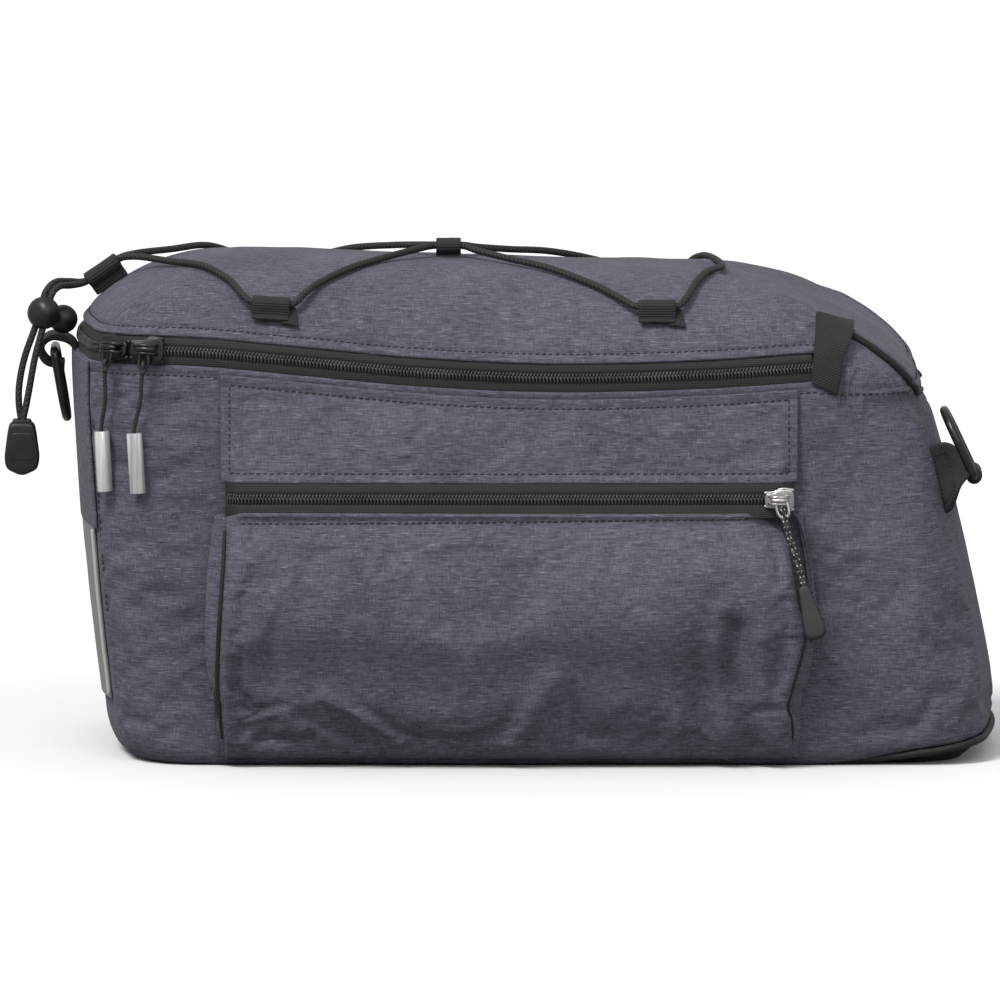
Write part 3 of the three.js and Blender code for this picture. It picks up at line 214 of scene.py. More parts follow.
TAIL_NEAR = [
    (-0.1878, -0.0017, 0.206),
    (-0.1948, -0.0018, 0.2012),
    (-0.2012, -0.007, 0.2003),
    (-0.2056, -0.0136, 0.2006),
    (-0.2089, -0.0188, 0.198),
    (-0.2112, -0.02, 0.1894),
    (-0.2136, -0.0212, 0.1808),
    (-0.2164, -0.0218, 0.170),
    (-0.2186, -0.0219, 0.158),
    (-0.2202, -0.0218, 0.1495),
    (-0.2216, -0.0217, 0.143),
    (-0.222, -0.0217, 0.138),
    (-0.222, -0.0217, 0.133),
]
TAIL_FAR = [
    (-0.1878, 0.0017, 0.206),
    (-0.1948, 0.0017, 0.2012),
    (-0.2022, -0.003, 0.2016),
    (-0.2076, -0.010, 0.202),
    (-0.2117, -0.0168, 0.1984),
    (-0.214, -0.018, 0.1898),
    (-0.2170, -0.0192, 0.1812),
    (-0.2209, -0.0189, 0.170),
    (-0.2232, -0.0185, 0.158),
    (-0.2233, -0.0183, 0.1495),
    (-0.2224, -0.0183, 0.143),
    (-0.222, -0.0183, 0.138),
    (-0.222, -0.0183, 0.133),
]
LOCK_AT = np.array((-0.2126, -0.019, 0.1896))
LOCK_AXIS = np.array((0.54, 0.8, -0.257))
STOPPER_AT = np.array((-0.222, -0.020, 0.1425))
SIDE_LOOPS = {"rear": (-0.114, 0.196), "front": (0.052, 0.194)}

# Small helpers


def clip01(a):
    return np.clip(a, 0.0, 1.0)


def smooth(a):
    a = clip01(a)
    return a * a * (3 - 2 * a)


def mix(a, b, t):
    return a + (b - a) * t


def unit(v):
    return v / np.maximum(np.linalg.norm(v, axis=-1, keepdims=True), 1e-12)


def bell(a):
    return np.exp(-a * a)


def curve_through(rows):
    xs = np.array([r[0] for r in rows], float)
    ys = np.array([r[1] for r in rows], float)
    low = np.maximum(np.arange(len(xs)) - 1, 0)
    high = np.minimum(np.arange(len(xs)) + 1, len(xs) - 1)
    slopes = (ys[high] - ys[low]) / (xs[high] - xs[low])

    def at(value):
        v = np.clip(value, xs[0], xs[-1])
        i = np.clip(np.searchsorted(xs, v, "right") - 1, 0, len(xs) - 2)
        w = xs[i + 1] - xs[i]
        t = (v - xs[i]) / w
        t2, t3 = t * t, t * t * t
        return (
            (2 * t3 - 3 * t2 + 1) * ys[i]
            + (t3 - 2 * t2 + t) * w * slopes[i]
            + (3 * t2 - 2 * t3) * ys[i + 1]
            + (t3 - t2) * w * slopes[i + 1]
        )

    return at


zip_sag = curve_through(ZIP_LINE)
pocket_out = curve_through(POCKET_PROFILE)

# Smooth random relief: gradient noise in space

_rng = np.random.RandomState(7)
_perm = np.concatenate([_rng.permutation(256)] * 3)
_grads = unit(_rng.normal(size=(256, 3)))


def noise(points, size, seed=0):
    """Gradient noise from about -0.7 to 0.7; size is the width of a lump, in metres, one number or three."""
    p = np.asarray(points, float) / np.asarray(size, float) + seed * 17.31
    cell = np.floor(p).astype(int)
    f = p - cell
    cell &= 255
    w = f * f * f * (f * (f * 6 - 15) + 10)
    total = 0
    for dx in (0, 1):
        for dy in (0, 1):
            for dz in (0, 1):
                h = _perm[_perm[_perm[cell[..., 0] + dx] + cell[..., 1] + dy] + cell[..., 2] + dz]
                g = _grads[h]
                d = g[..., 0] * (f[..., 0] - dx) + g[..., 1] * (f[..., 1] - dy) + g[..., 2] * (f[..., 2] - dz)
                wx = w[..., 0] if dx else 1 - w[..., 0]
                wy = w[..., 1] if dy else 1 - w[..., 1]
                wz = w[..., 2] if dz else 1 - w[..., 2]
                total = total + d * wx * wy * wz
    return total


# The skin of the closed bag


def rear_x(z):
    return REAR + REAR_TUCK * clip01(1 - z / REAR_TUCK_HEIGHT) ** REAR_TUCK_POWER


def front_x(z):
    return FRONT - FRONT_LEAN * (np.maximum(z, 0) / FRONT_HEIGHT) ** FRONT_LEAN_POWER


def half_width(z):
    return WIDTH / 2 + FILL_BOW * np.sin(np.pi * clip01(z / ZIP_HEIGHT))


def step_of(k):
    turn = np.mod(k, 2 * HALF)
    return np.where(turn > HALF, 2 * HALF - turn, turn), np.where(turn > HALF, 1.0, -1.0)


def foot_round(j):
    rear = smooth((SIDE_START - j) / CORNER_STEPS)
    front = smooth((j - SIDE_STOP) / CORNER_STEPS)
    return (
        FOOT_ROUND_SIDE
        + (FOOT_ROUND_REAR - FOOT_ROUND_SIDE) * rear
        + (FOOT_ROUND_FRONT - FOOT_ROUND_SIDE) * front
    )


def foot_inset(j, z):
    radius = foot_round(j)
    below = clip01(1 - z / radius)
    return radius * (1 - np.sqrt(np.maximum(1 - below * below, 0)))


def outline_at(k, z, inset=0.0):
    k, z, inset = np.broadcast_arrays(np.asarray(k, float), np.asarray(z, float), np.asarray(inset, float))
    j, side = step_of(k)
    rear = rear_x(z) + inset
    front = front_x(z) - inset
    half = half_width(z) - inset
    rear_flat = half - REAR_CORNER
    front_flat = half - FRONT_CORNER
    s1 = j / END_STEPS
    a1 = (np.pi / 2) * (j - END_STEPS) / CORNER_STEPS
    s2 = (j - SIDE_START) / SIDE_STEPS
    a2 = (np.pi / 2) * (j - SIDE_STOP) / CORNER_STEPS
    s3 = (HALF - j) / END_STEPS
    where = [j <= END_STEPS, j <= SIDE_START, j <= SIDE_STOP, j <= FRONT_START]
    x = np.select(
        where,
        [
            rear + REAR_BOW * s1 * s1,
            rear + REAR_BOW + REAR_CORNER * (1 - np.cos(a1)),
            mix(rear + REAR_BOW + REAR_CORNER, front - FRONT_BOW - FRONT_CORNER, s2),
            front - FRONT_BOW - FRONT_CORNER * (1 - np.sin(a2)),
        ],
        front - FRONT_BOW * s3 * s3,
    )
    y = np.select(
        where,
        [
            rear_flat * s1,
            rear_flat + REAR_CORNER * np.sin(a1),
            half + SIDE_BOW * (1 - (2 * s2 - 1) ** 2),
            front_flat + FRONT_CORNER * np.cos(a2),
        ],
        front_flat * s3,
    )
    return np.stack([x, side * y, z], -1)


def side_step_at(x, z):
    rear = rear_x(z) + REAR_BOW + REAR_CORNER
    front = front_x(z) - FRONT_BOW - FRONT_CORNER
    return SIDE_START + SIDE_STEPS * (x - rear) / (front - rear)


def side_out(x, z):
    j = np.clip(side_step_at(x, z), SIDE_START, SIDE_STOP)
    return -outline_at(j, z, foot_inset(j, z))[..., 1]


def zip_middle(x):
    return ZIP_HEIGHT - ZIP_SAG * zip_sag((x - REAR) / LENGTH)


ZIP_STOP = int(round(float(side_step_at(FRONT - ZIP_END, ZIP_HEIGHT - ZIP_SAG))))


def foot_seam(k):
    x = outline_at(k, BASE_THICKNESS)[..., 0]
    climb = clip01((x - (FRONT - FOOT_LIFT_LENGTH)) / FOOT_LIFT_LENGTH)
    return PIPING_RADIUS + GAP + FOOT_LIFT * climb**1.5


def wall_foot(k):
    return foot_seam(k) + PIPING_RADIUS + GAP


def body_edge(k):
    j, _ = step_of(k)
    x = outline_at(np.minimum(j, ZIP_STOP), ZIP_HEIGHT - ZIP_SAG)[..., 0]
    beside = zip_middle(x) - ZIP_OPENING / 2
    climbed = smooth((j - ZIP_STOP) / 2)
    dropped = smooth((j - SIDE_STOP - 1) / (FRONT_START - SIDE_STOP))
    return np.where(j <= ZIP_STOP, beside, mix(mix(beside, CREASE_PEAK, climbed), FRONT_SEAM, dropped))


def shoulder(k):
    j, _ = step_of(k)
    x = outline_at(np.minimum(j, SIDE_STOP), FRONT_HEIGHT)[..., 0]
    beside = zip_middle(x) - ZIP_OPENING / 2
    return mix(beside, FRONT_SEAM, smooth((j - ZIP_STOP) / (FRONT_START - ZIP_STOP)))


def lid_edge(k):
    j, _ = step_of(k)
    opened = 1 - smooth((j - ZIP_STOP) / 1.5)
    return body_edge(k) + mix(3 * GAP, ZIP_OPENING, opened)


RIDGE_REAR_X = REAR + RIDGE_REAR
RIDGE_FRONT_X = FRONT - RIDGE_FRONT


def ridge_point(k):
    j, _ = step_of(k)
    share = clip01((j - SIDE_START) / SIDE_STEPS)
    x = mix(RIDGE_REAR_X, RIDGE_FRONT_X, share)
    return np.stack([x, 0 * x, mix(CREST_REAR, CREST_FRONT, share)], -1)


def lid_round(k):
    j, _ = step_of(k)
    rear = smooth((SIDE_START - j) / CORNER_STEPS)
    front = smooth((j - SIDE_STOP + 4) / (CORNER_STEPS + 4))
    return (
        LID_SIDE_ROUND
        + (LID_REAR_ROUND - LID_SIDE_ROUND) * rear
        + (LID_FRONT_ROUND - LID_SIDE_ROUND) * front
    )


def skin_raw(k, level):
    j, _ = step_of(k)
    low = mix(wall_foot(k), shoulder(k), np.minimum(level, 1))
    wall = outline_at(k, low, foot_inset(j, low))
    angle = (np.clip(level, 1, 2) - 1) * np.pi / 2
    power = 2 / lid_round(k)
    out = np.maximum(np.cos(angle), 0) ** power
    out = np.where(level >= 2, 0, out)
    rise = np.sin(angle) ** power
    start = outline_at(k, shoulder(k))
    stop = ridge_point(k)
    top = np.stack(
        [
            mix(stop[..., 0], start[..., 0], out),
            start[..., 1] * out,
            mix(start[..., 2], stop[..., 2], rise),
        ],
        -1,
    )
    return np.where((level <= 1)[..., None], wall, top)


SOFTEN_AT = np.linspace(-0.9, 0.9, 9)
SOFTEN_BY = np.exp(-((SOFTEN_AT / 0.5) ** 2))
SOFTEN_BY /= SOFTEN_BY.sum()


def skin(k, level):
    """The skin with the outline's corners eased, as cloth eases them."""
    k, level = np.broadcast_arrays(np.asarray(k, float), np.asarray(level, float))
    return sum(w * skin_raw(k + d, level) for d, w in zip(SOFTEN_AT, SOFTEN_BY))


def level_at(k, z):
    k, z = np.broadcast_arrays(np.asarray(k, float), np.asarray(z, float))
    start = shoulder(k)
    foot = wall_foot(k)
    rise = clip01((z - start) / (ridge_point(k)[..., 2] - start))
    above = 1 + np.arcsin(rise ** (lid_round(k) / 2)) / (np.pi / 2)
    return np.where(z <= start, (z - foot) / (start - foot), above)


def skin_normal(k, level):
    across = skin(k + 0.4, level) - skin(k - 0.4, level)
    upward = skin(k, np.minimum(level + 0.01, 1.97)) - skin(k, np.minimum(level, 1.97) - 0.01)
    return unit(np.cross(across, upward))


def off_skin(k, level, out):
    out = np.asarray(out, float)
    return skin(k, level) + skin_normal(k, level) * out[..., None]


def skin_step_at(x, z):
    """The step on the near side where the skin has this x at height z."""
    x, z = np.broadcast_arrays(np.asarray(x, float), np.asarray(z, float))
    low, high = np.zeros(x.shape), np.full(x.shape, float(HALF))
    for _ in range(34):
        k = (low + high) / 2
        short = skin_raw(k, level_at(k, z))[..., 0] < x
        low, high = np.where(short, k, low), np.where(short, high, k)
    return low


# Lines and meshes


def reach_along(line):
    """How far along a line each of its points is."""
    return np.concatenate([[0], np.cumsum(np.linalg.norm(np.diff(line, axis=0), axis=1))])


def reach_up(grid):
    """How far up its column each point of a grid is."""
    steps = np.linalg.norm(np.diff(grid, axis=0), axis=-1)
    return np.concatenate([np.zeros((1, grid.shape[1])), np.cumsum(steps, 0)])


def points_at(at, far, line):
    return np.stack([np.interp(at, far, line[:, i]) for i in range(3)], 1)


def circles(line, n, b, radius, angle):
    """A circle round each point of a line."""
    return (
        line[:, None]
        + n[:, None] * (radius * np.cos(angle))[..., None]
        + b[:, None] * (radius * np.sin(angle))[..., None]
    )


def link(name, mesh, material=None, body="bag"):
    obj = bpy.data.objects.new(name, mesh)
    SCENE.collection.objects.link(obj)
    if material is not None:
        mesh.materials.append(material)
    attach(obj, body)
    return obj


def mesh_from(name, points, faces, uvs=None):
    mesh = bpy.data.meshes.new(name)
    places = np.asarray(points, float).reshape(-1, 3).tolist()
    mesh.from_pydata(places, [], [list(map(int, f)) for f in faces])
    mesh.polygons.foreach_set("use_smooth", [True] * len(mesh.polygons))
    if uvs is not None:
        layer = mesh.uv_layers.new(name="UVMap")
        layer.data.foreach_set("uv", np.asarray(uvs, np.float32).reshape(-1))
    mesh.update()
    return mesh


def grid_faces(rows, cols, wrap_cols=False, wrap_rows=False):
    r = np.arange(rows if wrap_rows else rows - 1)
    c = np.arange(cols if wrap_cols else cols - 1)
    r, c = np.meshgrid(r, c, indexing="ij")
    r2, c2 = (r + 1) % rows, (c + 1) % cols
    faces = np.stack([r * cols + c, r * cols + c2, r2 * cols + c2, r2 * cols + c], -1).reshape(-1, 4)
    places = np.stack(
        [
            np.stack([r, c], -1),
            np.stack([r, c + 1], -1),
            np.stack([r + 1, c + 1], -1),
            np.stack([r + 1, c], -1),
        ],
        -2,
    ).reshape(-1, 4, 2)
    return faces, places


def tube_faces(rows, sides, closed=False):
    """Faces round rings of points, with a face at each end unless the last ring meets the first."""
    faces = grid_faces(rows, sides, wrap_cols=True, wrap_rows=closed)[0].tolist()
    if not closed:
        faces += [list(range(sides))[::-1], [(rows - 1) * sides + i for i in range(sides)]]
    return faces


def clean_mesh(mesh, merge=0.0):
    """Turn the faces outward, or, given a distance, join the points that lie within it."""
    bm = bmesh.new()
    bm.from_mesh(mesh)
    if merge:
        bmesh.ops.remove_doubles(bm, verts=bm.verts, dist=merge)
        bmesh.ops.dissolve_degenerate(bm, edges=bm.edges, dist=1e-7)
    else:
        bmesh.ops.recalc_face_normals(bm, faces=bm.faces)
    bm.to_mesh(mesh)
    bm.free()
    mesh.polygons.foreach_set("use_smooth", [True] * len(mesh.polygons))


def grid_object(
    name, grid, material, wrap_cols=False, wrap_rows=False, uv=None, merge=0.0, flip=False, body="bag"
):
    """A mesh over a grid of points; uv is (along rows, along columns) in metres at each row and column."""
    grid = np.asarray(grid, float)
    rows, cols = grid.shape[:2]
    faces, places = grid_faces(rows, cols, wrap_cols, wrap_rows)
    if uv is None:
        du = np.linalg.norm(np.diff(np.concatenate([grid, grid[:, :1]], 1), axis=1), axis=-1)
        dv = np.linalg.norm(np.diff(np.concatenate([grid, grid[:1]], 0), axis=0), axis=-1)
        u = np.concatenate([[0], np.cumsum(du.mean(0))])
        v = np.concatenate([[0], np.cumsum(dv.mean(1))])
    else:
        u, v = uv
    uvs = np.stack([u[places[..., 1]], v[places[..., 0]]], -1)
    if flip:
        faces = faces[:, ::-1]
        uvs = uvs[:, ::-1]
    mesh = mesh_from(name, grid, faces, uvs)
    if merge:
        clean_mesh(mesh, merge)
    return link(name, mesh, material, body)


def grid_normals(grid, wrap_cols=False):
    if wrap_cols:
        across = np.roll(grid, -1, 1) - np.roll(grid, 1, 1)
    else:
        across = np.gradient(grid, axis=1)
    return unit(np.cross(across, np.gradient(grid, axis=0)))


def mirrored(grid):
    return grid * np.array((1, -1, 1))


def plate_object(name, outer, thickness, material, flip=False, body="bag"):
    """Cloth or webbing of real thickness with a rounded rim, over a grid of its outer face."""
    grid = np.asarray(outer, float)
    n = grid_normals(grid)
    if flip:
        n = -n
    r = thickness / 2
    middle = grid - n * r
    across = unit(np.gradient(grid, axis=1))
    upward = unit(np.gradient(grid, axis=0))
    turns = np.linspace(-np.pi / 2, np.pi / 2, 5)
    # each row becomes a closed ring round the sheet: outer face, end, inner face, end
    rings = []
    for i in range(grid.shape[0]):
        ring = [middle[i] + n[i] * r]
        stop = [
            middle[i, -1] + across[i, -1] * r * math.cos(a) + n[i, -1] * r * math.sin(a)
            for a in turns[::-1][1:-1]
        ]
        ring.append(np.array(stop))
        ring.append((middle[i] - n[i] * r)[::-1])
        start = [
            middle[i, 0] - across[i, 0] * r * math.cos(a) + n[i, 0] * r * math.sin(a)
            for a in turns[1:-1]
        ]
        ring.append(np.array(start))
        rings.append(np.concatenate(ring))
    rings = np.array(rings)
    # rounded first and last rows
    def capped(i, direction):
        out = []
        for a in (0.45, 0.8, 0.97):
            squeeze = math.sqrt(1 - a * a)
            centre = np.concatenate(
                [middle[i], np.repeat(middle[i, -1:], 3, 0), middle[i][::-1], np.repeat(middle[i, :1], 3, 0)]
            )
            out.append(centre + (rings[i] - centre) * squeeze + direction * r * a)
        return out

    up0 = np.concatenate(
        [upward[0], np.repeat(upward[0, -1:], 3, 0), upward[0][::-1], np.repeat(upward[0, :1], 3, 0)]
    )
    up1 = np.concatenate(
        [upward[-1], np.repeat(upward[-1, -1:], 3, 0), upward[-1][::-1], np.repeat(upward[-1, :1], 3, 0)]
    )
    rows = capped(0, -up0)[::-1] + list(rings) + capped(-1, up1)
    solid = np.array(rows)
    count = solid.shape[1]
    faces, places = grid_faces(solid.shape[0], count, wrap_cols=True)
    du = np.linalg.norm(np.diff(np.concatenate([rings, rings[:, :1]], 1), axis=1), axis=-1).mean(0)
    u = np.concatenate([[0], np.cumsum(du)])
    dv = np.linalg.norm(np.diff(solid, axis=0), axis=-1).mean(1)
    v = np.concatenate([[0], np.cumsum(dv)])
    uvs = np.stack([u[places[..., 1]], v[places[..., 0]]], -1)
    points = solid.reshape(-1, 3)
    faces = faces.tolist()
    loops = uvs.tolist()
    # close the two ends
    width = grid.shape[1]
    for start, turn in ((0, False), ((solid.shape[0] - 1) * count, True)):
        a = [start + i for i in range(count)]
        caps = [[a[i], a[i + 1], a[2 * width + 1 - i], a[2 * width + 2 - i]] for i in range(width - 1)]
        caps += [a[width - 1 : width + 4], a[2 * width + 2 : 2 * width + 6] + a[:1]]
        for q in caps:
            faces.append(q if turn else q[::-1])
            loops.append([[0, 0]] * len(q))
    if flip:
        faces = [f[::-1] for f in faces]
        loops = [l[::-1] for l in loops]
    flat = [p for l in loops for p in l]
    mesh = mesh_from(name, points, faces, flat)
    clean_mesh(mesh)
    return link(name, mesh, material, body)


def catmull_rom(points, count):
    """Points at even steps along the centripetal Catmull-Rom curve through the given ones."""
    p = np.asarray(points, float)
    p = np.concatenate([[2 * p[0] - p[1]], p, [2 * p[-1] - p[-2]]])
    out = []
    for i in range(1, len(p) - 2):
        a, b, c, d = p[i - 1 : i + 3]
        t0 = 0.0
        t1 = t0 + max(np.linalg.norm(b - a), 1e-9) ** 0.5
        t2 = t1 + max(np.linalg.norm(c - b), 1e-9) ** 0.5
        t3 = t2 + max(np.linalg.norm(d - c), 1e-9) ** 0.5
        t = np.linspace(t1, t2, 24, endpoint=False)[:, None]
        a1 = (t1 - t) / (t1 - t0) * a + (t - t0) / (t1 - t0) * b
        a2 = (t2 - t) / (t2 - t1) * b + (t - t1) / (t2 - t1) * c
        a3 = (t3 - t) / (t3 - t2) * c + (t - t2) / (t3 - t2) * d
        b1 = (t2 - t) / (t2 - t0) * a1 + (t - t0) / (t2 - t0) * a2
        b2 = (t3 - t) / (t3 - t1) * a2 + (t - t1) / (t3 - t1) * a3
        out.append((t2 - t) / (t2 - t1) * b1 + (t - t1) / (t2 - t1) * b2)
    line = np.concatenate(out + [p[-2:-1]])
    far = reach_along(line)
    at = np.linspace(0, far[-1], count)
    return points_at(at, far, line)


def length_of(line):
    return float(np.linalg.norm(np.diff(line, axis=0), axis=1).sum())


def frames_along(line):
    """Tangents and two directions at right angles to them that don't twist."""
    t = unit(np.gradient(line, axis=0))
    n = np.zeros_like(t)
    start = np.array((0, 0, 1.0)) if abs(t[0][2]) < 0.9 else np.array((1.0, 0, 0))
    n[0] = unit(start - t[0] * start.dot(t[0]))
    for i in range(1, len(t)):
        v = n[i - 1] - t[i] * n[i - 1].dot(t[i])
        n[i] = v / np.linalg.norm(v)
    return t, n, np.cross(t, n)


def tube_object(name, line, radius, material, sides=16, body="bag", ends=True, relief=None):
    """A round tube along a line of points. relief(along, angle) adds to the radius, in metres."""
    line = np.asarray(line, float)
    t, n, b = frames_along(line)
    far = reach_along(line)
    angle = np.linspace(0, 2 * np.pi, sides, endpoint=False)
    r = np.broadcast_to(np.asarray(radius, float), (len(line),))[:, None] + np.zeros((1, sides))
    if relief is not None:
        r = r + relief(far[:, None], angle[None, :])
    rings = circles(line, n, b, r, angle)
    if ends:
        first, last = [], []
        for a in (0.5, 0.85, 0.99):
            squeeze = math.sqrt(1 - a * a)
            first.append(line[0] - t[0] * r[0].mean() * a * 0.6 + (rings[0] - line[0]) * squeeze)
            last.append(line[-1] + t[-1] * r[-1].mean() * a * 0.6 + (rings[-1] - line[-1]) * squeeze)
        rings = np.concatenate([np.array(first[::-1]), rings, np.array(last)])
        far = np.concatenate([[far[0]] * 3, far, [far[-1]] * 3])
    faces, places = grid_faces(len(rings), sides, wrap_cols=True)
    uvs = np.stack([far[places[..., 0]], places[..., 1] / sides], -1).tolist()
    faces = faces.tolist()
    if ends:
        faces.append(list(range(sides))[::-1])
        uvs.append([[0, 0]] * sides)
        top = (len(rings) - 1) * sides
        faces.append([top + i for i in range(sides)])
        uvs.append([[0, 0]] * sides)
    mesh = mesh_from(name, rings, faces, [p for f in uvs for p in f])
    return link(name, mesh, material, body)


def many(name, base_points, base_faces, matrices, origins, material, body="bag"):
    """One mesh of many copies of a small form. matrices are (n, 3, 3) with the form's axes in their rows."""
    base = np.asarray(base_points, float)
    copies = np.einsum("pi,nij->npj", base, matrices) + origins[:, None]
    count = len(base)
    faces = []
    for size in {len(f) for f in base_faces}:
        group = np.array([f for f in base_faces if len(f) == size])
        faces += (group[None] + (np.arange(len(origins)) * count)[:, None, None]).reshape(-1, size).tolist()
    mesh = mesh_from(name, copies, faces)
    return link(name, mesh, material, body)


def bead(sides=6, rings=3):
    """A small round-ended bead of length 2 and radius 1 along x."""
    points = [(-1, 0, 0)]
    for i in range(rings):
        a = math.pi * (i + 1) / (rings + 1)
        for s in range(sides):
            b = 2 * math.pi * s / sides
            points.append((-math.cos(a), math.sin(a) * math.cos(b), math.sin(a) * math.sin(b)))
    points.append((1, 0, 0))
    faces = [(0, 1 + (s + 1) % sides, 1 + s) for s in range(sides)]
    for i in range(rings - 1):
        for s in range(sides):
            a, b = 1 + i * sides + s, 1 + i * sides + (s + 1) % sides
            faces.append((a, b, b + sides, a + sides))
    last = len(points) - 1
    low = 1 + (rings - 1) * sides
    faces += [(last, low + s, low + (s + 1) % sides) for s in range(sides)]
    return points, faces


BEAD = bead()


def resample(line, normals, step):
    far = reach_along(line)
    count = max(2, int(far[-1] / step))
    at = (np.arange(count) + 0.5) * far[-1] / count
    p = points_at(at, far, line)
    n = unit(points_at(at, far, normals))
    t = unit(points_at(at + step / 3, far, line) - points_at(at - step / 3, far, line))
    return p, t, unit(n - t * (n * t).sum(1, keepdims=True))


def stitches(name, lines, material, pitch=0.0031, length=0.0024, radius=0.00032, body="bag"):
    """Sewn thread along lines of (points, normals): a bead for each stitch, half sunk in the cloth."""
    places, frames_ = [], []
    for line, normals in lines:
        p, t, n = resample(np.asarray(line), np.asarray(normals), pitch)
        side = np.cross(n, t)
        tilt = 0.12
        t2 = unit(t + side * tilt)
        s2 = np.cross(n, t2)
        places.append(p + n * radius * 0.25)
        frames_.append(np.stack([t2 * length / 2, s2 * radius, n * radius], 1))
    return many(name, *BEAD, np.concatenate(frames_), np.concatenate(places), material, body)


# Cloth settled by simulation


def refined(coarse, rows, cols):
    """Values on a coarse grid brought to a finer one."""
    r = np.linspace(0, coarse.shape[0] - 1, rows)
    c = np.linspace(0, coarse.shape[1] - 1, cols)
    r0 = np.minimum(r.astype(int), coarse.shape[0] - 2)
    c0 = np.minimum(c.astype(int), coarse.shape[1] - 2)
    fr = smooth(r - r0)[:, None, None] * 0.4 + (r - r0)[:, None, None] * 0.6
    fc = smooth(c - c0)[None, :, None] * 0.4 + (c - c0)[None, :, None] * 0.6
    a, b = coarse[r0][:, c0], coarse[r0][:, c0 + 1]
    d, e = coarse[r0 + 1][:, c0], coarse[r0 + 1][:, c0 + 1]
    return mix(mix(a, b, fc), mix(d, e, fc), fr)


def settled(grid, held, every=(2, 2), spare=0.02, pressure=1.5, frames=16, limit=0.005, bending=0.4):
    """How far cloth over a grid moves when it has spare length and is blown up. held is 1 at seams."""
    rows, cols = grid.shape[:2]
    r = np.unique(np.round(np.linspace(0, rows - 1, rows // every[0])).astype(int))
    c = np.unique(np.round(np.linspace(0, cols - 1, cols // every[1])).astype(int))
    small = grid[r][:, c]
    weight = held[r][:, c]
    faces, _ = grid_faces(len(r), len(c))
    mesh = mesh_from("settling", small, faces)
    cloth = bpy.data.objects.new("settling", mesh)
    SCENE.collection.objects.link(cloth)
    group = cloth.vertex_groups.new(name="sewn")
    for level in np.unique(np.round(weight, 1)):
        if level > 0:
            members = np.flatnonzero(np.round(weight, 1).reshape(-1) == level).tolist()
            group.add(members, float(level), "REPLACE")
    modifier = cloth.modifiers.new("cloth", "CLOTH")
    setting = modifier.settings
    setting.quality = 6
    setting.mass = 0.2
    setting.tension_stiffness = 20
    setting.compression_stiffness = 20
    setting.shear_stiffness = 8
    setting.bending_stiffness = bending
    setting.effector_weights.gravity = 0
    setting.vertex_group_mass = "sewn"
    setting.shrink_min = -spare
    setting.use_pressure = True
    setting.uniform_pressure_force = pressure
    modifier.point_cache.frame_start = 1
    modifier.point_cache.frame_end = frames
    for frame_number in range(1, frames + 1):
        SCENE.frame_set(frame_number)
    shape = cloth.evaluated_get(bpy.context.evaluated_depsgraph_get()).data
    moved = np.zeros(len(shape.vertices) * 3)
    shape.vertices.foreach_get("co", moved)
    SCENE.frame_set(1)
    bpy.data.objects.remove(cloth)
    bpy.data.meshes.remove(mesh)
    shift = moved.reshape(small.shape) - small
    size = np.linalg.norm(shift, axis=-1, keepdims=True)
    shift = shift * np.tanh(size / limit) * limit / np.maximum(size, 1e-9)
    return refined(shift, rows, cols)


def stroke(a, b, path, width):
    """1 on a line through the points of a path and 0 well away from it, over coordinates a and b."""
    best = np.full(np.broadcast(a, b).shape, 1e9)
    path = np.asarray(path, float)
    for start, stop in zip(path[:-1], path[1:]):
        run = stop - start
        t = clip01(((a - start[0]) * run[0] + (b - start[1]) * run[1]) / run.dot(run))
        best = np.minimum(best, (a - start[0] - t * run[0]) ** 2 + (b - start[1] - t * run[1]) ** 2)
    return np.exp(-best / width**2)


# Solid forms of several closed parts


def wire_part(line, radius, sides=14, closed=False):
    line = np.asarray(line, float)
    if closed:
        t = unit(np.roll(line, -1, 0) - np.roll(line, 1, 0))
        flat = unit(np.cross(line[0] - line[len(line) // 3], line[2 * len(line) // 3] - line[0]))
        n = np.broadcast_to(flat, t.shape)
        b = unit(np.cross(t, n))
    else:
        t, n, b = frames_along(line)
    angle = np.linspace(0, 2 * np.pi, sides, endpoint=False)
    r = np.broadcast_to(np.asarray(radius, float), (len(line),))[:, None]
    rings = circles(line, n, b, r, angle)
    if not closed:
        first = [
            line[0] - t[0] * r[0] * a + (rings[0] - line[0]) * math.sqrt(1 - a * a)
            for a in (0.97, 0.8, 0.45)
        ]
        last = [
            line[-1] + t[-1] * r[-1] * a + (rings[-1] - line[-1]) * math.sqrt(1 - a * a)
            for a in (0.45, 0.8, 0.97)
        ]
        rings = np.concatenate([np.array(first), rings, np.array(last)])
    return rings.reshape(-1, 3), tube_faces(len(rings), sides, closed)


def turned_part(profile, at, axis, sides=32, closed=True):
    """A turned form: profile is (radius, distance along the axis) from its start to its end."""
    axis = unit(np.asarray(axis, float))
    aside = unit(np.cross(axis, (0.3, 0.9, 0.1)))
    other = np.cross(axis, aside)
    angle = np.linspace(0, 2 * np.pi, sides, endpoint=False)
    round_ = aside[None] * np.cos(angle)[:, None] + other[None] * np.sin(angle)[:, None]
    rings = np.array([np.asarray(at) + axis * h + round_ * max(r, 1e-5) for r, h in profile])
    return rings.reshape(-1, 3), tube_faces(len(rings), sides, closed)


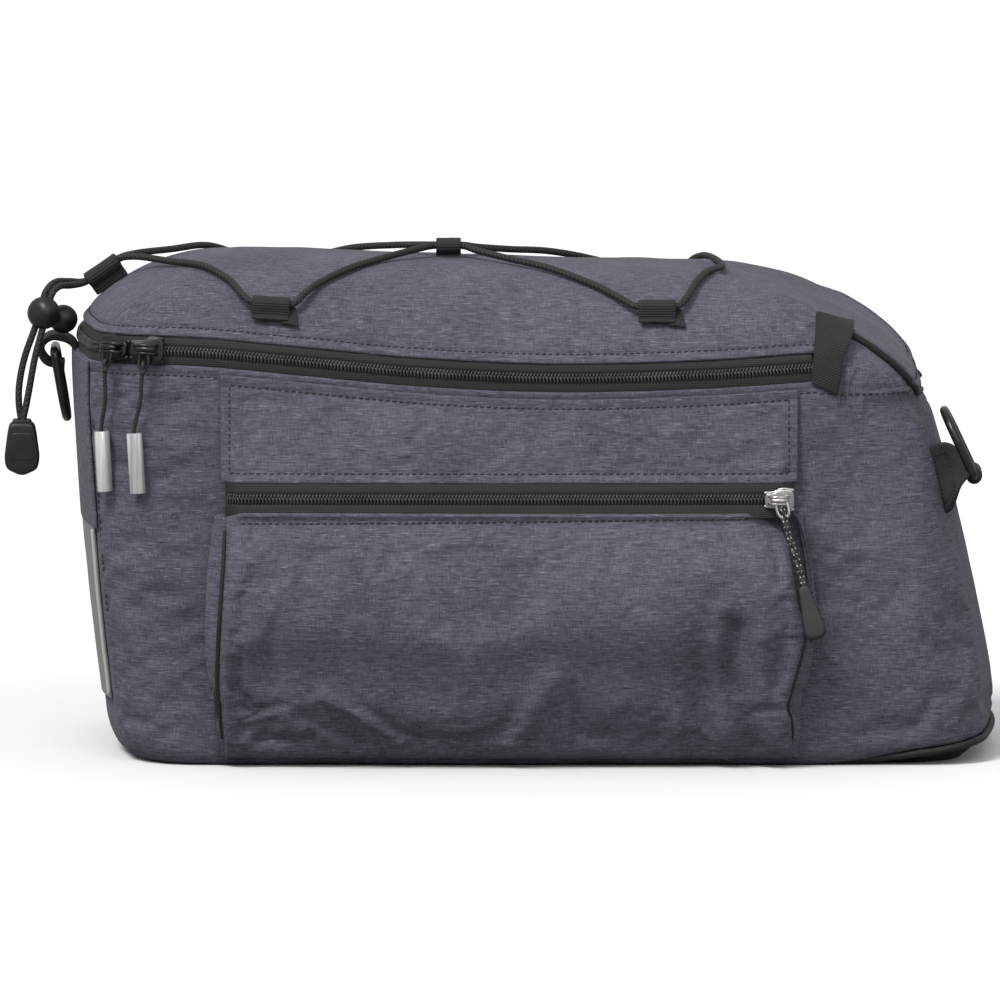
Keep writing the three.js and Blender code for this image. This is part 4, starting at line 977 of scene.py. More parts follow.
def pillow_part(outline, thickness, edge, at, axes, dome=0.0):
    """A plate of a given outline round at, with round edges; axes are its x, y and outward directions."""
    o = np.asarray(outline, float)
    centre = (o.max(0) + o.min(0)) / 2
    span = np.abs(o - centre).max()
    side = [
        (1 - edge * (1 - math.sin(a)) / span, thickness / 2 - edge * (1 - math.cos(a)))
        for a in np.linspace(0, np.pi / 2, 6)
    ]
    top = [(side[0][0] * share, thickness / 2 + dome * (1 - share * share)) for share in (0.02, 0.35, 0.7)]
    half = top + side
    rows = half + [(scale, -height) for scale, height in reversed(half)]
    axes = np.asarray(axes, float)
    rings = []
    for scale, height in rows:
        flat = centre + (o - centre) * scale
        rings.append(np.asarray(at) + flat[:, :1] * axes[0] + flat[:, 1:] * axes[1] + height * axes[2])
    rings = np.array(rings)
    count = len(o)
    return rings.reshape(-1, 3), tube_faces(len(rings), count)


def rounded(corners, radius, steps=5):
    """An outline through corners, each with its turn rounded."""
    out = []
    corners = np.asarray(corners, float)
    for i, corner in enumerate(corners):
        before = corners[i - 1] - corner
        after = corners[(i + 1) % len(corners)] - corner
        cut = min(radius, 0.48 * np.linalg.norm(before), 0.48 * np.linalg.norm(after))
        a, b = corner + unit(before) * cut, corner + unit(after) * cut
        for t in np.linspace(0, 1, steps):
            out.append((1 - t) ** 2 * a + 2 * t * (1 - t) * corner + t * t * b)
    return np.array(out)


def formed(name, parts, material, node=None, body="bag", crease=40):
    points, faces, base = [], [], 0
    for part_points, part_faces in parts:
        points.append(part_points)
        faces += [[i + base for i in face] for face in part_faces]
        base += len(part_points)
    mesh = mesh_from(name, np.concatenate(points), faces)
    clean_mesh(mesh)
    mesh.set_sharp_from_angle(angle=math.radians(crease))
    obj = link(name, mesh, material, body)
    if node:
        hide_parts(node)
    return obj


def ribbon(
    name, section, width, at, axes, material, node=None, body="bag", thickness=WEBBING, waves=0.0, columns=15
):
    """Webbing bent along a section (x, y), the middle of its thickness, and wide along its third axis."""
    line = catmull_rom([(x, y, 0) for x, y in section], 70)
    t = unit(np.gradient(line, axis=0))
    n = np.stack([t[:, 1], -t[:, 0], 0 * t[:, 0]], 1)
    across = np.linspace(-0.5, 0.5, columns) * width
    axes = np.asarray(axes, float)
    outer = line + n * thickness / 2
    places = (
        outer[:, None, 0, None] * axes[0]
        + outer[:, None, 1, None] * axes[1]
        + across[None, :, None] * axes[2]
    )
    places = places + np.asarray(at)
    if waves:
        out = n[:, None, 0, None] * axes[0] + n[:, None, 1, None] * axes[1]
        places = places + out * (waves * noise(places, 0.006, 61))[..., None]
    obj = plate_object(name, places, thickness, material, body=body)
    if node:
        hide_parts(node)
    return obj


def line_at(points, normals, along, distance, lift=0.0):
    """Where each column of a grid has come a distance along its rows."""
    line, faces = [], []
    for c in range(points.shape[1]):
        a = along[:, c]
        line.append([np.interp(distance, a, points[:, c, i]) for i in range(3)])
        faces.append([np.interp(distance, a, normals[:, c, i]) for i in range(3)])
    line, faces = np.array(line), unit(np.array(faces))
    return line + faces * lift, faces


# Materials


class Tree:
    """A material's nodes, made one call at a time."""

    def __init__(self, name):
        self.material = bpy.data.materials.new(name)
        self.material.use_nodes = True
        self.nodes = self.material.node_tree.nodes
        self.links = self.material.node_tree.links
        self.nodes.clear()
        self.out = self.nodes.new("ShaderNodeOutputMaterial")
        self.shader = self.nodes.new("ShaderNodeBsdfPrincipled")
        self.links.new(self.shader.outputs[0], self.out.inputs[0])

    def add(self, kind, inputs=None, **props):
        node = self.nodes.new(kind)
        for key, value in props.items():
            setattr(node, key, value)
        for key, value in (inputs or {}).items():
            self.put(node.inputs[key], value)
        return node

    def put(self, socket, value):
        if isinstance(value, bpy.types.NodeSocket):
            self.links.new(value, socket)
        elif isinstance(value, (tuple, list)) and len(value) == 3 and socket.type == "RGBA":
            socket.default_value = (*value, 1)
        else:
            socket.default_value = value

    def math(self, operation, a, b=0.0, c=0.0, clamp=False):
        node = self.add("ShaderNodeMath", {0: a, 1: b, 2: c}, operation=operation, use_clamp=clamp)
        return node.outputs[0]

    def noise(self, vector, scale=1.0, detail=2.0, rough=0.5, **props):
        node = self.add(
            "ShaderNodeTexNoise",
            {"Vector": vector, "Scale": scale, "Detail": detail, "Roughness": rough},
            **props,
        )
        return node.outputs[0]

    def stretch(self, vector, x, y, z=1.0, turn=0.0):
        node = self.add("ShaderNodeMapping", {"Vector": vector, "Scale": (x, y, z), "Rotation": (0, 0, turn)})
        return node.outputs[0]

    def ramp(self, value, stops):
        node = self.add("ShaderNodeValToRGB", {0: value})
        ramp = node.color_ramp
        while len(ramp.elements) < len(stops):
            ramp.elements.new(0.5)
        for element, (at, colour) in zip(ramp.elements, stops):
            element.position = at
            element.color = (*colour, 1) if len(colour) == 3 else colour
        return node.outputs[0]

    def blend(self, share, a, b, mode="MIX"):
        node = self.add("ShaderNodeMix", data_type="RGBA", blend_type=mode)
        self.put(node.inputs[0], share)
        self.put(node.inputs[6], a)
        self.put(node.inputs[7], b)
        return node.outputs[2]

    def bump(self, height, distance, strength=1.0, normal=None):
        inputs = {"Height": height, "Distance": distance, "Strength": strength}
        if normal is not None:
            inputs["Normal"] = normal
        return self.add("ShaderNodeBump", inputs).outputs[0]

    def set(self, **values):
        names = {
            "colour": "Base Color",
            "rough": "Roughness",
            "metal": "Metallic",
            "normal": "Normal",
            "sheen": "Sheen Weight",
            "sheen_rough": "Sheen Roughness",
            "coat": "Coat Weight",
            "coat_rough": "Coat Roughness",
            "specular": "Specular IOR Level",
            "aniso": "Anisotropic",
        }
        for key, value in values.items():
            self.put(self.shader.inputs[names[key]], value)
        return self.material


def flat_coordinates(tree):
    """Coordinates in metres that lie in the cloth: x is level and y climbs, whichever way the cloth faces."""
    place = tree.add("ShaderNodeTexCoord").outputs["Object"]
    facing = tree.add("ShaderNodeNewGeometry").outputs["Normal"]
    p = tree.add("ShaderNodeSeparateXYZ", {0: place}).outputs
    n = tree.add("ShaderNodeSeparateXYZ", {0: facing}).outputs
    nx, ny, nz = (tree.math("ABSOLUTE", n[i]) for i in range(3))
    endways = tree.math("GREATER_THAN", nx, tree.math("MAXIMUM", ny, nz))
    upways = tree.math("GREATER_THAN", nz, tree.math("MAXIMUM", nx, ny))
    level = tree.add("ShaderNodeMix", {0: endways, 2: p[0], 3: p[1]}).outputs[0]
    climb = tree.add("ShaderNodeMix", {0: upways, 2: p[2], 3: p[1]}).outputs[0]
    return tree.add("ShaderNodeCombineXYZ", {0: level, 1: climb}).outputs[0], place


def heather(name, dark, mid, light):
    """Melange cloth: level streaks of lighter and darker yarn, fine upright yarns, a weave that stands up."""
    tree = Tree(name)
    flat, place = flat_coordinates(tree)
    streaks = tree.noise(tree.stretch(flat, 170, 1900), detail=3.0, rough=0.6)
    slubs = tree.noise(tree.stretch(flat, 60, 900), detail=2.0, rough=0.5)
    uprights = tree.noise(tree.stretch(flat, 1700, 210), detail=2.0, rough=0.55)
    patches = tree.noise(place, scale=24, detail=3.0, rough=0.6)
    cloudy = tree.noise(tree.stretch(flat, 150, 330), detail=2.0)
    fine = tree.noise(tree.stretch(flat, 2600, 2600), detail=0.0)
    total = tree.math("MULTIPLY_ADD", streaks, 0.4, tree.math("MULTIPLY", uprights, 0.2))
    total = tree.math("MULTIPLY_ADD", slubs, 0.2, total)
    total = tree.math("MULTIPLY_ADD", cloudy, 0.1, total)
    total = tree.math("MULTIPLY_ADD", fine, 0.1, total)
    colour = tree.ramp(total, [(0.34, dark), (0.47, mid), (0.62, light)])
    soft = tree.ramp(patches, [(0.3, (0.84, 0.84, 0.83)), (0.7, (1.14, 1.14, 1.15))])
    colour = tree.blend(1.0, colour, soft, "MULTIPLY")
    flecks = tree.noise(tree.stretch(flat, 190, 1500), detail=1.5)
    pale = tuple(min(1, 1.3 * c) for c in light)
    colour = tree.blend(tree.ramp(flecks, [(0.6, (0, 0, 0)), (0.74, (1, 1, 1))]), colour, pale)
    shades = tree.ramp(flecks, [(0.25, (0.9, 0.9, 0.9)), (0.38, (0, 0, 0))])
    colour = tree.blend(shades, colour, tuple(0.75 * c for c in dark))
    strays = tree.noise(tree.stretch(flat, 1500, 300), detail=1.0)
    colour = tree.blend(tree.ramp(strays, [(0.63, (0, 0, 0)), (0.78, (0.7, 0.7, 0.7))]), colour, pale)
    thin = tree.ramp(strays, [(0.24, (0.6, 0.6, 0.6)), (0.36, (0, 0, 0))])
    colour = tree.blend(thin, colour, dark)
    height = tree.math("MULTIPLY_ADD", uprights, 0.45, streaks)
    height = tree.math("MULTIPLY_ADD", fine, 0.35, height)
    return tree.set(
        colour=colour,
        rough=tree.math("MULTIPLY_ADD", streaks, 0.12, 0.8),
        normal=tree.bump(height, 0.0002, 0.5),
        sheen=0.05,
        sheen_rough=0.5,
        specular=0.28,
    )


def webbing_material(name, dark=(0.011, 0.011, 0.0115), light=(0.034, 0.034, 0.035), pitch=0.0011):
    """Woven webbing: ribs across its width, from the UV map, with fine yarns between them."""
    tree = Tree(name)
    uv = tree.add("ShaderNodeUVMap", uv_map="UVMap").outputs[0]
    place = tree.add("ShaderNodeTexCoord").outputs["Object"]
    p = tree.add("ShaderNodeSeparateXYZ", {0: uv}).outputs
    ribs = tree.math("SINE", tree.math("MULTIPLY", p[1], 2 * math.pi / pitch))
    yarns = tree.math("SINE", tree.math("MULTIPLY", p[0], 2 * math.pi / (pitch * 0.72)))
    fuzz = tree.noise(tree.stretch(place, 1800, 1800, 1800), detail=2.0)
    height = tree.math(
        "MULTIPLY_ADD", tree.math("MULTIPLY", ribs, yarns), 0.35, tree.math("MULTIPLY", ribs, 0.6)
    )
    height = tree.math("MULTIPLY_ADD", fuzz, 0.8, height)
    # the colour follows the weave's height: darker in its low places and lighter on its ribs, painted shade
    # and highlight, with random fibre tone from the fuzz
    colour = tree.ramp(tree.math("MULTIPLY_ADD", height, 0.3, 0.35), [(0.2, dark), (0.75, light)])
    return tree.set(
        colour=colour,
        rough=0.72,
        normal=tree.bump(height, 0.00022, 0.8),
        sheen=0.05,
        sheen_rough=0.4,
        specular=0.4,
    )


def tape_material(name, dark=(0.01, 0.01, 0.0102), light=(0.028, 0.028, 0.0285)):
    """Zip tape: a fine close weave with ribs along it."""
    tree = Tree(name)
    flat, _ = flat_coordinates(tree)
    p = tree.add("ShaderNodeSeparateXYZ", {0: flat}).outputs
    cross = tree.math("SINE", tree.math("MULTIPLY", p[0], 2 * math.pi / 0.0007))
    along = tree.math("SINE", tree.math("MULTIPLY", p[1], 2 * math.pi / 0.0009))
    fuzz = tree.noise(tree.stretch(flat, 900, 2200), detail=2.0)
    height = tree.math("MULTIPLY_ADD", cross, 0.25, tree.math("MULTIPLY", along, 0.35))
    height = tree.math("MULTIPLY_ADD", fuzz, 0.9, height)
    # the colour follows the weave's height: darker between its yarns and lighter on them, painted shade and
    # highlight, with random fibre tone from the fuzz
    colour = tree.ramp(tree.math("MULTIPLY_ADD", height, 0.35, 0.3), [(0.1, dark), (0.9, light)])
    normal = tree.bump(height, 0.00012, 0.7)
    return tree.set(colour=colour, rough=0.66, normal=normal, specular=0.42, sheen=0.04)


def braid_material(
    name, dark, light, flecks=0.0, fleck_colour=(0.5, 0.5, 0.52), strands=8, pitch=0.0032, rough=0.62
):
    """A braided cord, from its UV map: u along it in metres and v round it from 0 to 1."""
    tree = Tree(name)
    uv = tree.add("ShaderNodeUVMap", uv_map="UVMap").outputs[0]
    p = tree.add("ShaderNodeSeparateXYZ", {0: uv}).outputs
    along = tree.math("MULTIPLY", p[0], 2 * math.pi / pitch)
    round_ = tree.math("MULTIPLY", p[1], 2 * math.pi * strands / 2)
    left = tree.math("SINE", tree.math("ADD", along, round_))
    right = tree.math("SINE", tree.math("SUBTRACT", along, round_))
    height = tree.math("MAXIMUM", left, right)
    fuzz = tree.noise(tree.stretch(uv, 2600, 24), detail=2.0)
    height = tree.math("MULTIPLY_ADD", fuzz, 0.6, height)
    # the colour follows the braid's height: darker between the strands and lighter on their crowns, painted
    # shade and highlight, with random fibre tone from the fuzz
    colour = tree.ramp(tree.math("MULTIPLY_ADD", height, 0.32, 0.3), [(0.15, dark), (0.85, light)])
    if flecks:
        each = tree.math("MULTIPLY", left, right)
        chosen = tree.ramp(each, [(flecks, (0, 0, 0)), (flecks + 0.1, (1, 1, 1))])
        colour = tree.blend(chosen, colour, fleck_colour)
    return tree.set(colour=colour, rough=rough, normal=tree.bump(height, 0.00018, 0.9), specular=0.45)


def plastic_material(name, colour=(0.012, 0.012, 0.0125), rough=0.38, grain=0.5):
    """Moulded plastic: fine grain, a little unevenness and rubbed spots."""
    tree = Tree(name)
    place = tree.add("ShaderNodeTexCoord").outputs["Object"]
    fine = tree.noise(place, scale=2600, detail=2.0)
    broad = tree.noise(place, scale=90, detail=3.0)
    height = tree.math("MULTIPLY_ADD", broad, 0.7, tree.math("MULTIPLY", fine, grain))
    shade = tree.ramp(broad, [(0.3, tuple(0.75 * c for c in colour)), (0.75, tuple(1.6 * c for c in colour))])
    return tree.set(
        colour=shade,
        rough=tree.math("MULTIPLY_ADD", broad, 0.22, rough - 0.1),
        normal=tree.bump(height, 0.00006, 0.6),
        specular=0.5,
    )


def metal_material(name, colour, rough, brush_and_reflection_streaks=(40, 40, 4000), scratches=0.5, metal=1.0, coat=0.0, deep=0.82):
    tree = Tree(name)
    place = tree.add("ShaderNodeTexCoord").outputs["Object"]
    # stretched noise gives brush lines; with a low deep, as on the aluminium tube, its dark streaks along the
    # tube are also painted reflections
    lines = tree.noise(tree.stretch(place, *brush_and_reflection_streaks), detail=3.0)
    broad = tree.noise(place, scale=160, detail=2.0)
    height = tree.math("MULTIPLY_ADD", lines, scratches, tree.math("MULTIPLY", broad, 0.5))
    dark, light = tuple(deep * c for c in colour), tuple(min(1, 1.08 * c) for c in colour)
    shade = tree.ramp(lines, [(0.25, dark), (0.75, light)])
    return tree.set(
        colour=shade,
        rough=tree.math("MULTIPLY_ADD", broad, 0.25, rough - 0.1),
        metal=metal,
        normal=tree.bump(height, 0.00003, 0.5),
        coat=coat,
    )


FABRIC = heather("fabric", (0.036, 0.036, 0.046), (0.084, 0.0825, 0.109), (0.152, 0.149, 0.192))
BASE_CLOTH = tape_material("base_cloth", (0.008, 0.008, 0.008), (0.022, 0.022, 0.022))
TAPE = tape_material("zip_tape_weave")
WEB = webbing_material("webbing_weave")
PIPING = tape_material("piping_cloth", (0.007, 0.007, 0.0075), (0.018, 0.018, 0.019))
COIL = plastic_material("coil_nylon", (0.05, 0.05, 0.05), 0.24, 0.2)
ELASTIC = braid_material("elastic_braid", (0.015, 0.0143, 0.014), (0.031, 0.029, 0.028), pitch=0.0024)
THIN_CORD = braid_material("pull_braid", (0.014, 0.014, 0.015), (0.04, 0.04, 0.044), strands=6, pitch=0.0018)
FLECKED = braid_material(
    "flecked_braid",
    (0.008, 0.008, 0.008),
    (0.035, 0.035, 0.036),
    flecks=0.72,
    strands=6,
    pitch=0.005,
    rough=0.45,
)
PLASTIC = plastic_material("black_plastic_moulded")
GRIP = plastic_material("grip_rubber", (0.021, 0.021, 0.021), 0.55, 0.9)
BLACK_METAL = metal_material(
    "black_paint_metal", (0.009, 0.009, 0.0095), 0.33, (600, 600, 600), 0.3, metal=0.3, coat=0.3
)
RING_METAL = metal_material(
    "black_ring_metal", (0.018, 0.018, 0.019), 0.3, (500, 500, 500), 0.3, metal=0.4, coat=0.25
)
NICKEL = metal_material("nickel_plate", (0.55, 0.54, 0.53), 0.22, (700, 700, 700), 0.3)
# aluminium tube: its near-white colour and strong dark streaks along its length are painted reflections of a
# polished tube; the streaks are brush lines too
ALUMINIUM = metal_material(
    "aluminium_tube", (0.98, 0.98, 0.99), 0.22, (430, 430, 5), 0.9, metal=0.45, deep=0.3
)
THREAD = plastic_material("sewing_thread", (0.016, 0.016, 0.02), 0.65, 0.5)
THREAD_BLACK = plastic_material("black_thread", (0.014, 0.014, 0.015), 0.6, 0.5)


def reflective_material():
    """Silver-grey retroreflective cloth with its faint lattice of cells."""
    tree = Tree("reflective_cloth")
    flat, place = flat_coordinates(tree)
    p = tree.add("ShaderNodeSeparateXYZ", {0: flat}).outputs
    one = tree.math("SINE", tree.math("MULTIPLY", tree.math("ADD", p[0], p[1]), 2 * math.pi / 0.0022))
    two = tree.math("SINE", tree.math("MULTIPLY", tree.math("SUBTRACT", p[0], p[1]), 2 * math.pi / 0.0022))
    cells = tree.math("MAXIMUM", one, two)
    fine = tree.noise(place, scale=1400, detail=2.0)
    height = tree.math("MULTIPLY_ADD", fine, 0.5, cells)
    colour = tree.ramp(
        tree.math("MULTIPLY_ADD", height, 0.3, 0.35), [(0.1, (0.2, 0.195, 0.19)), (0.9, (0.36, 0.355, 0.35))]
    )
    normal = tree.bump(height, 0.0001, 0.5)
    return tree.set(colour=colour, rough=0.42, metal=0.25, normal=normal, specular=0.5)


REFLECTIVE = reflective_material()
BRIGHT_EDGE = tape_material("bright_piping", (0.42, 0.41, 0.4), (0.62, 0.61, 0.6))

# Cords

elastic_line = catmull_rom(CORD_ROUTE + [(x, -y, z) for x, y, z in reversed(CORD_ROUTE[:-1])], 700)
elastic = tube_object("elastic_lace", elastic_line, CORD_RADIUS, ELASTIC, sides=14)
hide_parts("elastic_cord")
tail_lines = {"near": catmull_rom(TAIL_NEAR, 160), "far": catmull_rom(TAIL_FAR, 160)}
for side in ("near", "far"):
    tube_object("lace_end_" + side, tail_lines[side], CORD_RADIUS, ELASTIC, sides=14)
    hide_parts("cord_tail_" + side)

POCKET_START = REAR + POCKET_REAR
POCKET_STOP = POCKET_START + POCKET_LENGTH
POCKET_MIDDLE = POCKET_START + POCKET_LENGTH / 2
POCKET_ZIP_LOW = POCKET_ZIP_HEIGHT - POCKET_ZIP_OPENING / 2
POCKET_ZIP_HIGH = POCKET_ZIP_HEIGHT + POCKET_ZIP_OPENING / 2
POCKET_TAPE_MARGIN = 0.0015

# Body wall

FINE = 6  # columns to a step
ALL_K = np.arange(2 * HALF * FINE) / FINE
HEM = 0.0035  # from a cloth edge to its row of stitches
ROLL = 0.0009  # radius of a folded edge


def rolled(edge, normal, upward, radius, steps=6):
    """Rows that carry a cloth edge round to its back."""
    rows = []
    for a in np.linspace(0, np.pi, steps + 1)[1:]:
        rows.append(edge + upward * radius * math.sin(a) - normal * radius * (1 - math.cos(a)))
    return rows


def groove(distance, width, depth):
    return -depth * bell(distance / width)


SEAM_HEIGHT = 0.1637  # of the seam across the front quarter
SEAM_START = 0.116
SIDE_SEAM_STEP = 4.12
WALL_FOOT_DROP = 0.0037  # the cloth hangs over the piping


def body_relief(k, points, z, edge_z):
    """How the wall's cloth rises and falls, in metres."""
    j, _ = step_of(k)
    x = points[..., 0]
    out = 0.0011 * noise(points, (0.075, 0.075, 0.06), 1)
    out = out + 0.0007 * noise(points, (0.034, 0.034, 0.05), 2)
    out = out + 0.00018 * noise(points, 0.009, 3)
    below = edge_z - z
    out = out + 0.00045 * smooth(1 - below / HEM) + groove(below - HEM, 0.0009, 0.00035)
    pull = noise(points, (0.012, 0.012, 0.03), 4)
    out = out + 0.0004 * pull * bell((below - HEM) / 0.007)
    front = smooth((x - SEAM_START) / 0.004)
    seam = z - SEAM_HEIGHT + 0.006 * clip01((x - 0.135) / 0.06) * 0.4
    out = out + front * (groove(seam, 0.0007, 0.0008) + 0.0004 * bell((seam + 0.0026) / 0.0022))
    beside = (j - SIDE_SEAM_STEP) * 0.0084
    out = out + groove(beside, 0.0007, 0.0007) + 0.00045 * bell((beside - 0.0022) / 0.0018)
    foot = z - wall_foot(k)
    out = out + groove(foot, 0.002, 0.0007)
    out = out + 0.0006 * noise(points, (0.02, 0.02, 0.014), 5) * bell((foot - 0.006) / 0.012)
    return out


def pocket_cover(p):
    """1 where the wall lies under a side pocket."""
    x, z = p[..., 0], p[..., 2]
    inside = smooth((x - POCKET_START + 0.014) / 0.006) * smooth((POCKET_STOP + 0.013 - x) / 0.006)
    return inside * smooth((0.172 - z) / 0.004)


def body_wall():
    rows = np.linspace(0, 1, 110)
    rows = mix(rows, smooth(rows), 0.35)
    k = ALL_K[None, :]
    edge_z = body_edge(k)
    edge_level = level_at(k, edge_z)
    level = edge_level * rows[:, None]
    p = skin(np.broadcast_to(k, level.shape), level)
    n = grid_normals(p, True)
    p = p + n * body_relief(k, p, p[..., 2], edge_z)[..., None]
    j = np.broadcast_to(step_of(k)[0], level.shape)
    foot = p[..., 2] - wall_foot(k)
    p[..., 2] -= WALL_FOOT_DROP * smooth(1 - foot / 0.012) * smooth((0.165 - p[..., 0]) / 0.045)
    z = p[..., 2]
    upright = bell((j - SIDE_SEAM_STEP) / 0.3)
    lying = bell((z - SEAM_HEIGHT) / 0.003) * (p[..., 0] > SEAM_START)
    seam = np.maximum(upright, lying)
    held = np.maximum.reduce(
        [
            smooth(1 - (edge_z - z - 0.006) / 0.008),
            smooth(1 - (z - wall_foot(k) - 0.004) / 0.008),
            pocket_cover(p),
            smooth((SIDE_SEAM_STEP + 0.2 - j) / 0.3),
            seam,
        ]
    )
    p = p + settled(p, held, (3, 3), spare=0.022, pressure=1.0, limit=0.0022)
    n = grid_normals(p, True)
    up = unit(p[-1] - p[-3])
    roll = rolled(p[-1], n[-1], up, ROLL)
    inner_rows = [np.array(p[i] - n[i] * SHELL) for i in (-2, -20, -50, -80, 0)]
    grid = np.concatenate([p, roll, inner_rows], 0)
    return grid_object("wall_cloth", grid, FABRIC, wrap_cols=True, wrap_rows=True)


wall = body_wall()
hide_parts("body_shell")


def wall_line(ks, z_of, lift=0.0):
    """Points and normals of the body's wall along a line of heights."""
    ks = np.asarray(ks, float)
    z = z_of(ks)
    level = level_at(ks, z)
    p = skin(ks, level)
    n = skin_normal(ks, level)
    rise = body_relief(ks, p, z, body_edge(ks))
    return p + n * (rise + lift)[..., None], n


# Base

def base_piping():
    ks = ALL_K
    j, _ = step_of(ks)
    z = foot_seam(ks)
    middle = sum(w * outline_at(ks + d, z, foot_inset(j, z)) for d, w in zip(SOFTEN_AT, SOFTEN_BY))
    out = unit(np.roll(middle, -1, 0) - np.roll(middle, 1, 0))
    out = unit(np.cross(out, np.array((0, 0, 1.0))))
    wave = 1 + 0.06 * noise(middle, 0.006, 8)
    rings = []
    for a in np.linspace(0, 2 * np.pi, 14, endpoint=False):
        rings.append(
            middle
            + out * (PIPING_RADIUS * wave * math.cos(a) - GAP)[:, None]
            + np.array((0, 0, 1.0)) * (PIPING_RADIUS * wave * math.sin(a))[:, None]
        )
    obj = grid_object("foot_piping", np.array(rings)[::-1], PIPING, wrap_cols=True, wrap_rows=True)
    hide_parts("base_piping")


base_piping()


def paint(node, material, bevel=0.0):
    """A CAD node that stays gets its material, and soft edges where it is hard."""
    obj = NODES[node]
    obj.data.materials.clear()
    obj.data.materials.append(material)
    if bevel:
        modifier = obj.modifiers.new("edges", "BEVEL")
        modifier.width = bevel
        modifier.segments = 2
        modifier.limit_method = "ANGLE"
        modifier.angle_limit = math.radians(35)


paint("base_panel", BASE_CLOTH, 0.0004)

# Rear flap and reflective panel


def rear_piece(name, node, station, low, high_of, thickness, material, rows=40):
    ks = np.linspace(-station, station, 2 * 40 + 1)
    share = np.linspace(0, 1, rows)[:, None]
    z = mix(low, high_of(ks)[None, :], share)
    k = np.broadcast_to(ks[None, :], z.shape)
    level = level_at(k, z)
    base = skin(k, level)
    n = skin_normal(k, level)
    relief = 0.0011 * noise(base, (0.075, 0.075, 0.06), 1) + 0.0007 * noise(base, (0.034, 0.034, 0.05), 2)
    own = 0.0003 * noise(base, 0.02, 11)
    outer = base + n * (GAP + thickness + relief + own)[..., None]
    # near side faces -Y for k > 0, and k runs from the far side to the near one
    obj = plate_object(name, outer, thickness, material)
    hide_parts(node)
    return outer, grid_normals(outer)


rear_piece(
    "rear_flap_cloth",
    "rear_flap",
    FLAP_STATION,
    FLAP_FOOT,
    lambda ks: body_edge(ks) - GAP,
    FLAP_THICKNESS,
    FABRIC,
)
glow_p, glow_n = rear_piece(
    "reflective_cloth_panel",
    "reflective_panel",
    REFLECTOR_STATION,
    REFLECTOR_FOOT,
    lambda ks: FLAP_FOOT - GAP + 0 * ks,
    REFLECTOR_THICKNESS,
    REFLECTIVE,
)

for name, column in (("near", -1), ("far", 0)):
    line = glow_p[1:-1, column] + glow_n[1:-1, column] * 0.0003
    tube_object("reflective_edge_" + name, line, REFLECTOR_EDGE_RADIUS, BRIGHT_EDGE, sides=10)

# Lid


LID_CREASE = 0.0017  # how far the lid's front edge stands off
# radius of the dark tube that paints shade into the lid's front crease
LID_CREASE_SHADE_RADIUS = 0.0019


def lid_relief(points, drop):
    out = 0.0013 * noise(points, (0.085, 0.06, 0.08), 21) * smooth(drop / 0.02)
    out = out + 0.0008 * noise(points, (0.03, 0.022, 0.03), 22) * smooth(drop / 0.012)
    out = out + 0.00015 * noise(points, 0.008, 23)
    out = out + 0.0005 * smooth(1 - drop / HEM) + groove(drop - HEM, 0.0009, 0.0004)
    pull = noise(points, (0.011, 0.011, 0.03), 24)
    out = out + 0.0004 * pull * bell((drop - HEM) / 0.008)
    for x, z in SIDE_LOOPS.values():
        for side in (-1, 1):
            dx = points[..., 0] - x
            dz = points[..., 2] - z
            near = np.where(points[..., 1] * side > 0, 1.0, 0.0)
            out = out - near * 0.0009 * bell(dx / 0.016) * bell((dz + 0.002) / 0.007)
            lines = np.sin((dx + 1.1 * dz) / 0.0046)
            out = out + near * 0.00045 * lines * bell(dx / 0.03) * bell((dz - 0.004) / 0.011)
    return out


def lid_top():
    rows = np.linspace(0, 1, 96)
    rows = mix(rows, rows**1.25, 0.5)
    k = ALL_K[None, :]
    j, _ = step_of(k)
    edge_level = level_at(k, lid_edge(k))
    level = mix(edge_level, 2.0, rows[:, None])
    kk = np.broadcast_to(k, level.shape)
    p = skin(kk, level)
    n = grid_normals(p, True)
    n[-1] = (0, 0, 1)
    n[-2] = unit(mix(n[-2], n[-1], 0.5))
    n[-3] = unit(mix(n[-3], n[-1], 0.25))
    along = reach_up(p)
    between = smooth((j - ZIP_STOP) / 2) * smooth((FRONT_START - j) / 2 + 0.5)
    raised = LID_OVERLAP * between * (1 - rows[:, None])
    crease = smooth((j - ZIP_STOP - 0.6) / 1.6) * smooth((FRONT_START + 1.2 - j) / 2)
    raised = raised + LID_CREASE * crease * bell(along / 0.009)
    relief = lid_relief(p, along)
    p = p + n * (raised + relief)[..., None]
    p[-1, :, 1] = 0
    held = np.maximum(smooth(1 - (along - 0.006) / 0.008), smooth((rows[:, None] - 0.9) / 0.08) + 0 * along)
    p = p + settled(p, held, (3, 3), spare=0.02, pressure=0.2, limit=0.0013)
    n2 = grid_normals(p, True)
    down = unit(p[0] - p[2])
    thick = ROLL + 0.0009 * smooth((step_of(ALL_K)[0] - ZIP_STOP) / 2) + 0.0008 * crease[0]
    roll = []
    for a in np.linspace(0, np.pi, 9)[1:]:
        outward, inward = thick * math.sin(a), thick * (1 - math.cos(a))
        roll.append(p[0] + down * outward[:, None] - n2[0] * inward[:, None])
    inner = [p[i] - n2[i] * SHELL for i in (3, 30, 60)]
    last = p[-1] - np.array((0, 0, SHELL))
    grid = np.concatenate([[last], inner[::-1], roll[::-1], p], 0)
    obj = grid_object("lid_cloth", grid, FABRIC, wrap_cols=True, merge=0.00002)
    return p, n2, obj


